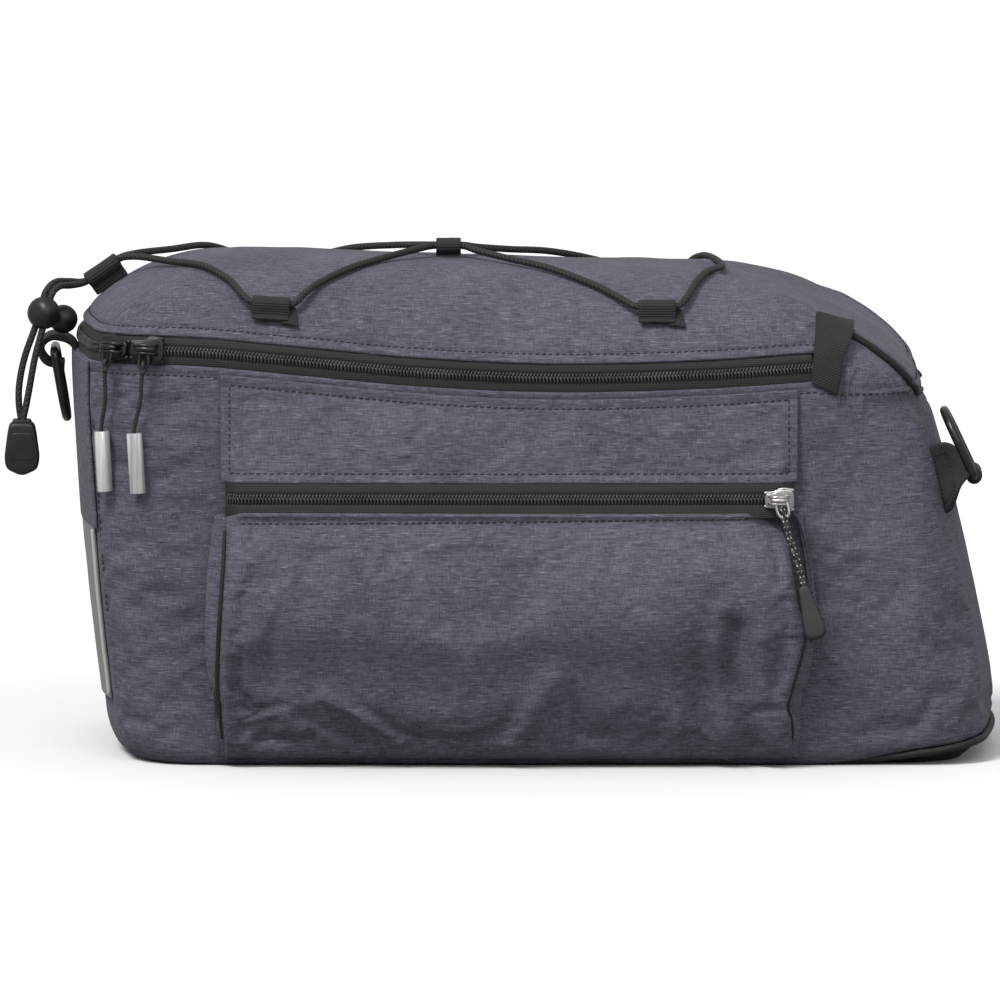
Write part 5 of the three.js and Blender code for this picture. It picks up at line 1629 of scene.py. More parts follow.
def crease_shade_tube(sign):
    """A dark tube tucked under the lid's front edge: painted shade that darkens the crease there."""
    ks = np.linspace(ZIP_STOP + 0.8, FRONT_START + 1.5, 90) * sign
    z = lid_edge(ks) - 0.0012
    line, n = wall_line(ks, lambda k: z)
    line = line + n * 0.0006
    radius = LID_CREASE_SHADE_RADIUS * np.sin(np.linspace(0.3, np.pi - 0.3, 90)) ** 0.4
    tube_object("lid_crease_shade_" + ("near" if sign > 0 else "far"), line, radius, PIPING, sides=10)


crease_shade_tube(1)
crease_shade_tube(-1)

lid_p, lid_n, lid_obj = lid_top()
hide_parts("lid")

# Main zip

ZIP_K = np.linspace(-ZIP_STOP, ZIP_STOP, 2 * ZIP_STOP * FINE + 1)


def zip_point(k, share, out):
    low = body_edge(k) + GAP
    high = lid_edge(k) - GAP
    return off_skin(k, level_at(k, mix(low, high, share)), out)


def zip_tape():
    shares = np.linspace(-0.04, 1.04, 25)
    k = np.broadcast_to(ZIP_K[None, :], (len(shares), len(ZIP_K)))
    share = np.broadcast_to(shares[:, None], k.shape)
    from_middle = np.abs(share - 0.5) * ZIP_OPENING
    out = (
        -TAPE_RECESS
        + 0.0005 * smooth((from_middle - 0.0021) / 0.0008)
        - 0.0003 * smooth((from_middle - 0.0052) / 0.002)
    )
    p = zip_point(k, share, np.zeros(k.shape))
    n = grid_normals(p)
    out = out + 0.00025 * noise(p, (0.02, 0.02, 0.004), 31)
    outer = p + n * out[..., None]
    obj = plate_object("zip_tape_main", outer, 0.001, TAPE)
    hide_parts("main_zip_tape")


zip_tape()

COIL_WIRE = 0.00034


def coil_rows(name, node, line, normals, material=COIL):
    """The two spirals of a zip, their loops meeting in the middle."""
    far = reach_along(line)
    turns = int(far[-1] / COIL_PITCH)
    per = 10
    sides = 5
    rings_all, faces_all, base = [], [], 0
    for side in (-1, 1):
        theta = np.arange(turns * per + 1) / per
        at = (theta + (0.5 if side > 0 else 0)) * COIL_PITCH
        at = np.clip(at, 0, far[-1])
        a = 2 * np.pi * theta
        across = side * (0.0007 - 0.0012 * np.cos(a))
        height = 0.0007 + 0.00052 * np.sin(a)
        lean = -0.00022 * np.sin(a) * side
        p = points_at(at + lean, far, line)
        n = unit(points_at(at, far, normals))
        t = unit(np.gradient(points_at(at, far, line), axis=0))
        c = unit(np.cross(n, t))
        centre = p + c * across[:, None] + n * height[:, None]
        angle = np.linspace(0, 2 * np.pi, sides, endpoint=False)
        rings = circles(centre, *frames_along(centre)[1:], COIL_WIRE, angle)
        rings_all.append(rings.reshape(-1, 3))
        faces_all += [[base + i for i in face] for face in tube_faces(len(rings), sides)]
        base += len(rings) * sides
    mesh = mesh_from(name, np.concatenate(rings_all), faces_all)
    obj = link(name, mesh, material)
    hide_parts(node)
    return obj


main_line = zip_point(ZIP_K, 0.5, GAP - TAPE_RECESS + 0 * ZIP_K)
main_normals = skin_normal(ZIP_K, level_at(ZIP_K, body_edge(ZIP_K) + ZIP_OPENING / 2))
coil_rows("zip_coil_main", "main_zip_coil", main_line, main_normals)

# Side pockets, near side and its mirror image

def panel_top(x):
    return zip_middle(x) - ZIP_OPENING / 2 - POCKET_TOP_GAP


POCKET_FOLDS = [
    (0.84, 0.22, 0.035, 0.26, -0.3, -0.03),
    (0.9, 0.2, 0.03, 0.24, 0.16, -0.02),
    (0.08, 0.3, 0.03, 0.2, -0.16, 0.05),
    (0.3, 0.06, 0.09, 0.07, -0.14, 0.1),
    (0.6, 0.1, 0.08, 0.08, -0.12, -0.1),
]


def fold_at(along, up):
    total = 0
    for fa, fu, wide, tall, depth, lean in POCKET_FOLDS:
        across = (along - fa - lean * (up - fu)) / wide
        total = total + depth * np.exp(-across * across - ((up - fu) / tall) ** 2)
    return total


def pocket_depth(along, z):
    span = 1 - (2 * clip01(along) - 1) ** 2
    share = clip01((z - POCKET_ZIP_LOW) / (panel_top(POCKET_MIDDLE) - POCKET_ZIP_LOW))
    sides = np.minimum(1, 0.35 + 6 * span)
    upper = POCKET_DEPTH * pocket_out(np.array(1.0)) * (1 - share) * sides + POCKET_WALL
    up = (z - POCKET_FOOT) / (POCKET_ZIP_LOW - POCKET_FOOT)
    belly = POCKET_BULGE * np.sqrt(np.maximum(span, 0)) * np.sin(np.pi * clip01(up))
    lower = POCKET_DEPTH * (pocket_out(up) + fold_at(along, up)) + belly
    return np.where(z >= POCKET_ZIP_LOW, upper, lower)


def pocket_surface(x, z, out=0.0):
    along = (x - POCKET_START) / POCKET_LENGTH
    y = -(side_out(x, z) + DRAPE_GAP + pocket_depth(along, z) + out)
    return np.stack([x + 0 * y, y, z + 0 * y], -1)


# The pouch's two sewn edges: x at heights z
POUCH_LEFT = curve_through(
    [
        (0.006, -0.1337),
        (0.0262, -0.1352),
        (0.036, -0.1361),
        (0.0575, -0.1355),
        (0.092, -0.1333),
        (0.11, -0.1328),
    ]
)
POUCH_RIGHT = curve_through(
    [
        (0.006, 0.1099),
        (0.0215, 0.1095),
        (0.0268, 0.1078),
        (0.0318, 0.1086),
        (0.04, 0.1109),
        (0.0556, 0.1148),
        (0.0635, 0.1151),
        (0.0747, 0.1122),
        (0.0877, 0.11),
        (0.0985, 0.1078),
        (0.1045, 0.1042),
        (0.1085, 0.0998),
        (0.11, 0.095),
    ]
)
PINCH_HEIGHT = 0.0268
POUCH_FOOT_DROP = 0.0056
# dark tubes along the pouch's sewn edges: a dark seam binding, and painted shade that darkens the groove
# beside each edge
REAR_SEAM_SHADE_RADIUS = 0.00105
FRONT_SEAM_SHADE_RADIUS = 0.0006
# Folds of the pouch: path over (x, z), width, height
POUCH_STROKES = [
    ([(0.0852, 0.062), (0.0838, 0.044), (0.0862, 0.029), (0.0925, 0.009)], 0.0048, -0.006),
    ([(0.0772, 0.056), (0.076, 0.032), (0.0795, 0.009)], 0.0048, 0.0028),
    ([(0.0965, 0.058), (0.0975, 0.034), (0.102, 0.01)], 0.0055, 0.0026),
    ([(0.006, 0.04), (-0.01, 0.01)], 0.006, 0.0028),
    ([(0.02, 0.016), (0.049, 0.0125)], 0.0055, -0.0022),
    ([(-0.0907, 0.033), (-0.059, 0.0115)], 0.0042, 0.003),
    ([(-0.0985, 0.0235), (-0.075, 0.0105)], 0.0045, -0.0016),
    ([(-0.119, 0.0125), (-0.0965, 0.0135)], 0.0028, -0.0028),
    ([(-0.1285, 0.037), (-0.1225, 0.024)], 0.0032, -0.0016),
    ([(-0.131, 0.053), (-0.119, 0.058)], 0.005, 0.0018),
    ([(-0.132, 0.0268), (-0.121, 0.0262), (-0.11, 0.029)], 0.0028, -0.0017),
    ([(0.1075, 0.0268), (0.098, 0.0275)], 0.0024, -0.0017),
    ([(0.1, 0.109), (0.104, 0.1), (0.106, 0.088)], 0.006, -0.0016),
]


def pouch_relief(p, up, z):
    out = 0.0013 * noise(p, (0.06, 0.03, 0.05), 41) + 0.0007 * noise(p, (0.025, 0.02, 0.022), 42)
    out = out + 0.0014 * noise(p, (0.03, 0.02, 0.012), 43) * bell((z - 0.012) / 0.018)
    out = out + 0.003 * bell((up - 0.8) / 0.16) - 0.0052 * bell((up - 0.33) / 0.2)
    for path, width, height in POUCH_STROKES:
        out = out + height * stroke(p[..., 0], z, path, width)
    out = out + 0.00014 * noise(p, 0.008, 44)
    below = POCKET_ZIP_LOW - z
    out = out * smooth(below / 0.012) + 0.0006 * smooth(1 - below / HEM) + groove(below - HEM, 0.0009, 0.0005)
    pull = noise(p, (0.011, 0.011, 0.03), 45)
    out = out + 0.0006 * pull * bell((below - HEM - 0.002) / 0.006)
    return out


GUSSET_TURNS = np.linspace(0, 1, 17)[:-1]
SEAM_TURN = 13  # column of the gusset where the dark seam lies


def pouch():
    lowest = POCKET_FOOT
    rows = np.linspace(0, 1, 96)
    z_rows = mix(lowest + 0.001, POCKET_ZIP_LOW, rows)[:, None]
    shares = np.linspace(0, 1, 170)[None, :]
    x = mix(POUCH_LEFT(z_rows), POUCH_RIGHT(z_rows), shares)
    z = np.broadcast_to(z_rows, x.shape)
    up = (z - POCKET_FOOT) / (POCKET_ZIP_LOW - POCKET_FOOT)
    front = pocket_surface(x, z)
    edge = np.minimum(x - POUCH_LEFT(z_rows), POUCH_RIGHT(z_rows) - x)
    relief = pouch_relief(front, up, z)
    relief = (
        relief * smooth(edge / 0.008)
        - 0.0016 * np.exp(-edge / 0.0013)
        + 0.0005 * bell((edge - 0.0035) / 0.0024)
    )
    corner = smooth((x - 0.088) / 0.02) * smooth((z - 0.085) / 0.022)
    front[..., 1] -= relief - 0.005 * corner
    held = np.maximum.reduce(
        [
            smooth(1 - (edge - 0.002) / 0.006),
            smooth(1 - (POCKET_ZIP_LOW - z - 0.005) / 0.008),
            smooth(1 - (z - lowest - 0.001) / 0.004),
        ]
    )
    front = front + settled(front, held, (2, 2), spare=0.045, pressure=0.6, limit=0.0028, bending=0.6)
    sides = []
    for sign, edge_at, face in ((-1, POCKET_START, front[:, 0]), (1, POCKET_STOP, front[:, -1])):
        zs = z_rows[:, 0]
        rise = clip01((zs - POCKET_FOOT) / (POCKET_ZIP_HIGH - POCKET_FOOT))
        sewn = POCKET_GUSSET * np.sin(np.pi * rise) + 0.0005
        tied = 1 - 0.9 * bell((zs - PINCH_HEIGHT) / 0.006)
        foot_x = edge_at + sign * (sewn * tied - 0.0015 * (1 - tied))
        foot = np.stack([foot_x, -(side_out(foot_x, zs) + DRAPE_GAP), zs], -1)
        t = GUSSET_TURNS[None, :, None]
        strip = mix(foot[:, None], face[:, None], t)
        swell = (0.0012 + 0.0016 * np.sin(np.pi * rise))[:, None] * tied[:, None]
        bulge = swell * np.sin(np.pi * clip01(GUSSET_TURNS / 0.8))[None]
        bulge = bulge - 0.0034 * bell((GUSSET_TURNS - GUSSET_TURNS[SEAM_TURN]) / 0.07)[None]
        bulge = bulge + 0.0006 * noise(strip, (0.01, 0.01, 0.022), 46)
        strip[..., 0] += sign * bulge
        turn = GUSSET_TURNS[None]
        ridge = 0.0045 if sign > 0 else 0.0085
        rest = foot[:, None, 1] - ridge * bell((turn - 0.25) / 0.2)
        rest = rest + (face[:, None, 1] - foot[:, None, 1]) * smooth((turn - 0.8) / 0.2)
        sunk = smooth((zs - 0.046) / 0.016) * smooth((0.116 - zs) / 0.01) if sign > 0 else 0.22 + 0 * zs
        strip[..., 1] = mix(strip[..., 1], rest, sunk[:, None])
        sides.append(strip)
    grid = np.concatenate([sides[0], front, sides[1][:, ::-1]], 1)
    # the foot turns under to the body
    foot = []
    for t in (0.35, 0.7, 0.9, 1.0):
        row = grid[0].copy()
        y_body = -(side_out(row[:, 0], np.full(len(row), lowest)) + DRAPE_GAP)
        row[:, 1] = mix(row[:, 1], y_body, t**1.6)
        drop = POUCH_FOOT_DROP * math.sin(t * math.pi / 2)
        row[:, 2] = row[:, 2] - drop + 0.0004 * noise(grid[0], 0.012, 47)
        foot.append(row)
    return np.concatenate([foot[::-1], grid], 0)


def pouch_objects():
    grid = pouch()
    n = grid_normals(grid)
    up = unit(grid[-1] - grid[-3])
    roll = rolled(grid[-1], n[-1], up, ROLL)
    inner = [grid[i] - n[i] * POCKET_WALL for i in (-3, -20, -45, -70, 3)]
    closed = np.concatenate([grid, roll, inner], 0)
    made = []
    for side in ("near", "far"):
        g = closed if side == "near" else mirrored(closed)
        obj = grid_object("pouch_cloth_" + side, g, FABRIC, wrap_rows=True, flip=side == "far")
        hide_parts("pocket_pouch_" + side)
        made.append(obj)
        turns = len(GUSSET_TURNS)
        # each sewn edge gets a dark tube: seam binding and painted shade of its groove
        for name, column, aside, radius in (
            ("rear", turns, -0.0009, REAR_SEAM_SHADE_RADIUS),
            ("front", -1 - turns, 0.0006, FRONT_SEAM_SHADE_RADIUS),
        ):
            line = grid[8:-6, column] + np.array((aside, 0.0004, 0))
            ends = np.sin(np.linspace(0.2, np.pi - 0.2, len(line))) ** 0.3
            seam = line if side == "near" else mirrored(line)
            tube_object("pouch_seam_shade_" + name + "_" + side, seam, radius * ends, PIPING, sides=8)
    return grid, n


pouch_p, pouch_n = pouch_objects()


def panel():
    """The flat panel over the pocket's zip."""
    rows = np.linspace(0, 1, 40)[:, None]
    x = np.linspace(POCKET_START, POCKET_STOP, 150)[None, :]
    z = mix(POCKET_ZIP_HIGH, panel_top(x), rows)
    x = np.broadcast_to(x, z.shape)
    p = pocket_surface(x, z)
    side = np.minimum(x - POCKET_START, POCKET_STOP - x)
    low = z - POCKET_ZIP_HIGH
    high = panel_top(x) - z
    out = 0.0011 * noise(p, (0.06, 0.03, 0.03), 51) + 0.0006 * noise(p, (0.022, 0.02, 0.02), 52)
    out = out * smooth(side / 0.01) * smooth(low / 0.008) * smooth(high / 0.008)
    for d in (low, high, side):
        out = out + 0.0004 * smooth(1 - d / HEM) + groove(d - HEM, 0.0009, 0.0004)
    pull = noise(p, (0.011, 0.011, 0.03), 53)
    out = out + 0.0004 * pull * (bell((low - HEM) / 0.008) + bell((high - HEM) / 0.008))
    p[..., 1] -= out
    nearest = np.minimum(np.minimum(low, high), side)
    held = smooth(1 - (nearest - 0.004) / 0.006)
    return p + settled(p, held, (2, 2), spare=0.02, pressure=0.4, limit=0.0012)


panel_p = panel()
panel_n = grid_normals(panel_p)
for side in ("near", "far"):
    g = panel_p if side == "near" else mirrored(panel_p)
    obj = plate_object("panel_cloth_" + side, g, POCKET_WALL, FABRIC, flip=side == "far")
    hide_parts("pocket_panel_" + side)


def pocket_zip_at(x, z, out):
    along = (x - POCKET_START) / POCKET_LENGTH
    y = -(side_out(x, z) + DRAPE_GAP + pocket_depth(along, z) + out)
    return np.stack([x + 0 * y, y, z + 0 * y], -1)


def pocket_tape():
    x = np.linspace(POCKET_START + POCKET_TAPE_MARGIN, POCKET_STOP - POCKET_TAPE_MARGIN, 140)[None, :]
    z = np.linspace(POCKET_ZIP_LOW - 0.0004, POCKET_ZIP_HIGH + 0.0004, 23)[:, None]
    x, z = np.broadcast_arrays(x, z)
    from_middle = np.abs(z - POCKET_ZIP_HEIGHT)
    out = (
        -0.0005
        + 0.0005 * smooth((from_middle - 0.0021) / 0.0008)
        - 0.0003 * smooth((from_middle - 0.0055) / 0.002)
    )
    held = np.maximum(z, POCKET_ZIP_LOW + 0.00001)
    p = pocket_zip_at(x, held, 0.0)
    p[..., 2] = z
    out = out + 0.00025 * noise(p, (0.02, 0.02, 0.004), 55)
    p[..., 1] -= out
    return p


tape_p = pocket_tape()
coil_x = np.linspace(POCKET_START + 0.002, POCKET_STOP - 0.002, 200)
coil_line = pocket_zip_at(coil_x, np.full_like(coil_x, POCKET_ZIP_HEIGHT), np.full_like(coil_x, GAP - 0.0005))
for side in ("near", "far"):
    near = side == "near"
    obj = plate_object("zip_tape_" + side, tape_p if near else mirrored(tape_p), 0.0007, TAPE, flip=not near)
    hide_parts("pocket_zip_tape_" + side)
    normals = np.tile(np.array((0, -1.0 if near else 1.0, 0)), (len(coil_x), 1))
    shown = coil_line if near else mirrored(coil_line)
    coil_rows("zip_coil_" + side, "pocket_zip_coil_" + side, shown, normals)

# Sliders, tubes and pulls

SLIDER_HALF = 0.00575
SLIDER_STEPS = [float(skin_step_at(REAR + 0.018 + n * 0.0135, ZIP_HEIGHT - 0.001)) for n in (0, 1)]
COIL_TOP = 2 * GAP + 0.0015
TUBE_RADIUS = 0.0034
TUBE_LENGTH = 0.026
TUBE_GRIP = 0.005
PULL_CORD_LENGTH = 0.036
PULL_CORD_RADIUS = 0.0009
MAIN_SLIDER_SIZE = 1.28


def slider_parts(at, axes, size=1.0):
    """A slider lying in its first two axes: two wings, a saddle and a bridge."""
    x, y, z = (unit(np.asarray(a, float)) for a in axes)
    at = np.asarray(at, float)
    h = SLIDER_HALF * size
    w = 0.0042 * size

    def place(a, b, c):
        return at + x * a + y * b + z * c

    plan = rounded(
        [(-h, -0.58 * w), (-0.35 * h, -0.66 * w), (0.1 * h, -w), (0.78 * h, -w), (h, -0.62 * w)]
        + [(h, 0.62 * w), (0.78 * h, w), (0.1 * h, w), (-0.35 * h, 0.66 * w), (-h, 0.58 * w)],
        0.0016 * size,
    )
    middle = place(0, 0, 0.0009 * size)
    parts = [pillow_part(plan, 0.0017 * size, 0.0006 * size, middle, (x, y, z), dome=0.0004 * size)]
    for side in (-1, 1):
        rail = [
            place(a * h, side * w * b, 0.0002 * size)
            for a, b in ((-0.95, 0.62), (-0.3, 0.7), (0.2, 0.98), (0.9, 0.9))
        ]
        parts.append(wire_part(catmull_rom(rail, 24), 0.00075 * size, 10))
    arch = [(-0.72, 0.0012), (-0.62, 0.0032), (-0.3, 0.0043), (0.15, 0.0044), (0.5, 0.0037), (0.66, 0.0012)]
    for side in (-0.32, 0.32):
        line = catmull_rom([place(a * h, side * w, c * size) for a, c in arch], 30)
        parts.append(wire_part(line, 0.00062 * size, 10))
    crown = [(-0.4, 0.0041), (-0.1, 0.0045), (0.2, 0.0045), (0.45, 0.0039)]
    parts.append(wire_part(catmull_rom([place(a * h, 0, c * size) for a, c in crown], 16), 0.0011 * size, 12))
    for a in (-0.5, 0.52):
        rivet = [(0.0001, 0.0008), (0.0009, 0.0008), (0.0008, 0.002), (0.0001, 0.0022)]
        parts.append(turned_part(rivet, place(a * h, 0, 0), z, 14))
    return parts


def ring_part(top, down, facing, length, width, wire):
    """A link that hangs from top."""
    aside = unit(np.cross(down, facing))
    turns = np.linspace(0, 2 * np.pi, 40, endpoint=False)
    middle = np.asarray(top) + unit(down) * length / 2
    c, d = np.cos(turns), np.sin(turns)
    squash = np.abs(c) ** 0.85 * np.sign(c)
    line = middle + aside * (d * width / 2)[:, None] + unit(down) * (-squash * length / 2)[:, None]
    return wire_part(line, wire, 10, closed=True)


def zip_frame(k):
    k = np.array([k])
    normal = skin_normal(k, level_at(k, body_edge(k) + ZIP_OPENING / 2))[0]
    along = unit(zip_point(k + 0.3, 0.5, 0 * k)[0] - zip_point(k - 0.3, 0.5, 0 * k)[0])
    across = unit(np.cross(normal, along))
    return along, across, normal, zip_point(k, 0.5, np.full(1, COIL_TOP - TAPE_RECESS))[0]


def main_pull(n, end):
    along, across, normal, at = zip_frame(SLIDER_STEPS[n])
    turn = 1 if n else -1
    down = -across if across[2] > 0 else across
    link_top = at + normal * 0.0053 - along * turn * 0.0004 + down * 0.0006
    hang = unit(np.array((0, 0, -1.0)) + 0.25 * normal)
    parts = slider_parts(at, (along * turn, across * turn, normal), MAIN_SLIDER_SIZE)
    parts.append(ring_part(link_top, hang, normal, 0.0082, 0.0042, 0.00062))
    formed("zip_slider_" + end, parts, BLACK_METAL, "main_slider_" + end)
    k = SLIDER_STEPS[n] - 0.6
    height = at[2] - 0.004 - GAP - 0.0002

    def beside(drop):
        ks = np.array([k])
        away = np.full(1, TUBE_RADIUS + DRAPE_GAP + 0.0006)
        return off_skin(ks, level_at(ks, np.array([height - drop])), away)[0]

    foot = beside(PULL_CORD_LENGTH)
    way = unit(beside(PULL_CORD_LENGTH + TUBE_LENGTH) - foot)
    top = link_top + hang * 0.0078
    mouth = foot - way * (TUBE_GRIP + 0.001)
    middle = mix(top, mouth, 0.5) + np.array((0.0008, -0.0004, 0))
    line = catmull_rom([top, mix(top, mouth, 0.2), middle, mouth, foot], 90)
    cord = tube_object("zip_cord_" + end, line, PULL_CORD_RADIUS, THIN_CORD, sides=12)
    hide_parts("pull_cord_" + end)
    eye = [
        top + hang * (-0.0012 + 0.0016 * math.cos(a)) + unit(np.cross(hang, along)) * 0.0013 * math.sin(a)
        for a in np.linspace(0, 2 * np.pi, 24, endpoint=False)
    ]
    formed("zip_cord_eye_" + end, [wire_part(eye, 0.0008, 10, closed=True)], THIN_CORD)
    knot = [(0.0002, -0.0006), (0.0011, -0.0005), (0.0013, 0.0006), (0.0011, 0.0018), (0.0002, 0.0019)]
    formed("zip_cord_whipping_" + end, [turned_part(knot, top + hang * 0.0004, hang, 16)], THIN_CORD)
    r, inner, neck = TUBE_RADIUS, TUBE_RADIUS - 0.0007, 0.0016
    profile = [(neck, 0), (r - 0.0005, 0), (r - 0.00015, 0.00012), (r, 0.0005), (r, TUBE_LENGTH - 0.0004)]
    profile += [(r - 0.0002, TUBE_LENGTH), (inner, TUBE_LENGTH), (inner, 0.006), (neck, 0.0056)]
    turned = turned_part(profile, foot - way * TUBE_GRIP, way, 48)
    tube = formed("zip_tube_" + end, [turned], ALUMINIUM, "pull_tube_" + end)
    return length_of(line)


main_pull(0, "rear")
main_pull(1, "front")

POCKET_PULL_LENGTH = 0.036
POCKET_CORD_RADIUS = 0.0015
POCKET_SLIDER_SIZE = 1.1
GRIP_LENGTH = 0.0225
PULL_LEAN = math.radians(15)


def pocket_pull(side):
    mirror = np.array((1, 1 if side == "near" else -1, 1))
    share = (POCKET_STOP - POCKET_TAPE_MARGIN - 0.006 - POCKET_START) / POCKET_LENGTH
    x = POCKET_START + share * POCKET_LENGTH
    at = pocket_zip_at(np.array(x), np.array(POCKET_ZIP_HEIGHT), COIL_TOP - TAPE_RECESS / 2)
    facing = np.array((0, -1.0, 0))
    parts = slider_parts(at, ((1, 0, 0), (0, 0, 1), facing), POCKET_SLIDER_SIZE)
    top = at + np.array((0.0012, -0.0044, -0.0028))
    reach = POCKET_PULL_LENGTH + GRIP_LENGTH
    low = top[2] - reach * 0.9
    wall_there = float(side_out(np.array(top[0]), np.array(low)))
    belly = wall_there + DRAPE_GAP + POCKET_DEPTH + POCKET_BULGE + 0.0015
    down = unit(np.array((math.sin(PULL_LEAN), (-belly - top[1]) / reach, -math.cos(PULL_LEAN))))
    parts.append(ring_part(top + np.array((-0.001, 0.0004, 0.0036)), down, facing, 0.0086, 0.005, 0.0008))
    foot = top + down * POCKET_PULL_LENGTH
    aside = unit(np.cross(down, facing))
    upper, lower = mix(top, foot, 0.3) + aside * 0.0005, mix(top, foot, 0.7) - aside * 0.0005
    line = catmull_rom([top, upper, lower, foot + down * 0.004], 110)
    flip = [(p * mirror, f) for p, f in parts]
    formed("pocket_zip_slider_" + side, flip, NICKEL, "pocket_slider_" + side)
    line = line * mirror
    strands, pitch = 3, 0.0065
    cord = tube_object(
        "pocket_cord_" + side,
        line,
        POCKET_CORD_RADIUS,
        FLECKED,
        sides=24,
        relief=lambda far, angle: 0.0003 * np.sin(strands * angle + 2 * np.pi * far / pitch),
    )
    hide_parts("pocket_pull_cord_" + side)
    corners = [(-0.0021, -0.0015), (0.0021, -0.0015), (0.0052, GRIP_LENGTH), (-0.0052, GRIP_LENGTH)]
    outline = rounded(corners, 0.0048, 9)
    thin = unit(np.cross(aside, down))
    grip_points, grip_faces = pillow_part(outline, 0.0042, 0.0017, foot + down * 0.0003, (aside, down, thin))
    notch = [
        wire_part([foot + down * d + aside * s * 0.0021 - thin * 0.0019 for s in (-1, 1)], 0.0004, 8)
        for d in (0.002, 0.0038, 0.0056)
    ]
    parts = [(grip_points, grip_faces)] + notch
    placed = [(p * mirror, f) for p, f in parts]
    grip = formed("pocket_grip_" + side, placed, GRIP, "pocket_pull_grip_" + side)


pocket_pull("near")
pocket_pull("far")

# Webbing

LOOP_TACK = (0.0016, 0.0013, 0.00026)
LOOP_WIDTH = 0.015
LOOP_TAIL = 0.0065
LOOP_EASE = 0.0016
LOOP_REACH = CORD_RADIUS + LOOP_EASE + WEBBING / 2


def side_loop(end, side):
    x, z = SIDE_LOOPS[end]
    k = np.array([float(skin_step_at(x, z))])
    level = level_at(k, np.array([z]))
    normal = skin_normal(k, level)[0]
    along = unit(skin(k + 0.5, level)[0] - skin(k - 0.5, level)[0])
    upward = -unit(np.cross(along, normal))
    if upward[2] < 0:
        upward = -upward
    at = skin(k, level)[0]
    mirror = np.array((1, 1 if side == "near" else -1, 1))
    normal, upward, along, at = normal * mirror, upward * mirror, along * mirror, at * mirror
    middle = DRAPE_GAP + LOOP_REACH + WEBBING / 2
    arc = [(middle - LOOP_REACH * math.cos(a), LOOP_REACH * math.sin(a)) for a in np.linspace(0, np.pi, 7)]
    inner = [(DRAPE_GAP + WEBBING * 0.5, -LOOP_TAIL), (middle - LOOP_REACH - 0.0001, -0.003)]
    outer = [(middle + LOOP_REACH - 0.0004, -0.0022), (DRAPE_GAP + WEBBING * 1.9, -LOOP_TAIL + 0.0004)]
    name = "webbing_loop_" + end + "_" + side
    hand = 1 if np.cross(normal, upward).dot(along) > 0 else -1
    axes = (normal, upward, along * hand)
    node = f"cord_loop_{end}_{side}"
    ribbon(name, inner + arc + outer, LOOP_WIDTH, at, axes, WEB, node, waves=0.0003)
    # the folded end of the webbing, showing past the loop
    ahead = 1 if along[0] > 0 else -1
    start = at + along * (LOOP_WIDTH / 2 - 0.002) * ahead + normal * (DRAPE_GAP + 0.0006)
    forward = along * (1 if along[0] > 0 else -1)
    rows = []
    for up in np.linspace(0, 1, 8):
        row = []
        for across in np.linspace(0, 1, 8):
            climb = -0.0072 + 0.0085 * up - 0.0012 * across
            point = start + forward * (0.0062 * across * (1 - 0.25 * up)) + upward * climb
            out = 0.0005 + 0.0012 * across * up + 0.0006 * bell((across - 0.5) / 0.25)
            row.append(point + normal * out)
        rows.append(row)
    plate_object(name + "_end", np.array(rows), WEBBING, WEB, flip=side == "far")
    tack = [
        at + normal * (2 * WEBBING + 0.0009) + upward * (-LOOP_TAIL + 0.0018) + along * a
        for a in np.linspace(-0.0062, 0.0062, 20)
    ]
    stitches(name + "_tack", [(np.array(tack), np.tile(normal, (20, 1)))], THREAD_BLACK, *LOOP_TACK)


for end in ("rear", "front"):
    for side in ("near", "far"):
        side_loop(end, side)


def standing_loop(name, node, lift, width, at, normal, along, waves):
    """Webbing on a stem round two strands side by side."""
    half = 0.0017
    across = unit(np.cross(normal, along))
    t = WEBBING / 2
    r = LOOP_REACH
    foot = DRAPE_GAP + 0.0003
    right = [(half + r * math.sin(a), lift - r * math.cos(a)) for a in np.linspace(0.15, np.pi - 0.1, 7)]
    left = [(-x, y) for x, y in right[::-1]]
    neck = max(foot + 0.0004, lift - r - 0.0012)
    section = [(t, foot), (t, neck)] + right + left + [(-t, neck), (-t, foot)]
    third = np.cross(across, normal)
    ribbon(name, section[::-1], width, at, (across, normal, third), WEB, node, waves=waves)


ridge_k = np.array([SIDE_START + SIDE_STEPS * 0.476])
standing_loop(
    "webbing_loop_crest",
    "cord_loop_centre",
    0.0049,
    0.0095,
    ridge_point(ridge_k)[0],
    np.array((0, 0, 1.0)),
    np.array((1.0, 0, 0)),
    0.0005,
)
REAR_LOOP_LEVEL = 1.42
zero = np.array([0.0])
rear_at = skin(zero, zero + REAR_LOOP_LEVEL)[0]
rear_along = unit(skin(zero, zero + REAR_LOOP_LEVEL + 0.02)[0] - skin(zero, zero + REAR_LOOP_LEVEL - 0.02)[0])
rear_normal = skin_normal(zero, zero + REAR_LOOP_LEVEL)[0]
standing_loop(
    "webbing_loop_tail", "cord_loop_end", 0.008, LOOP_WIDTH, rear_at, rear_normal, rear_along, 0.0003
)


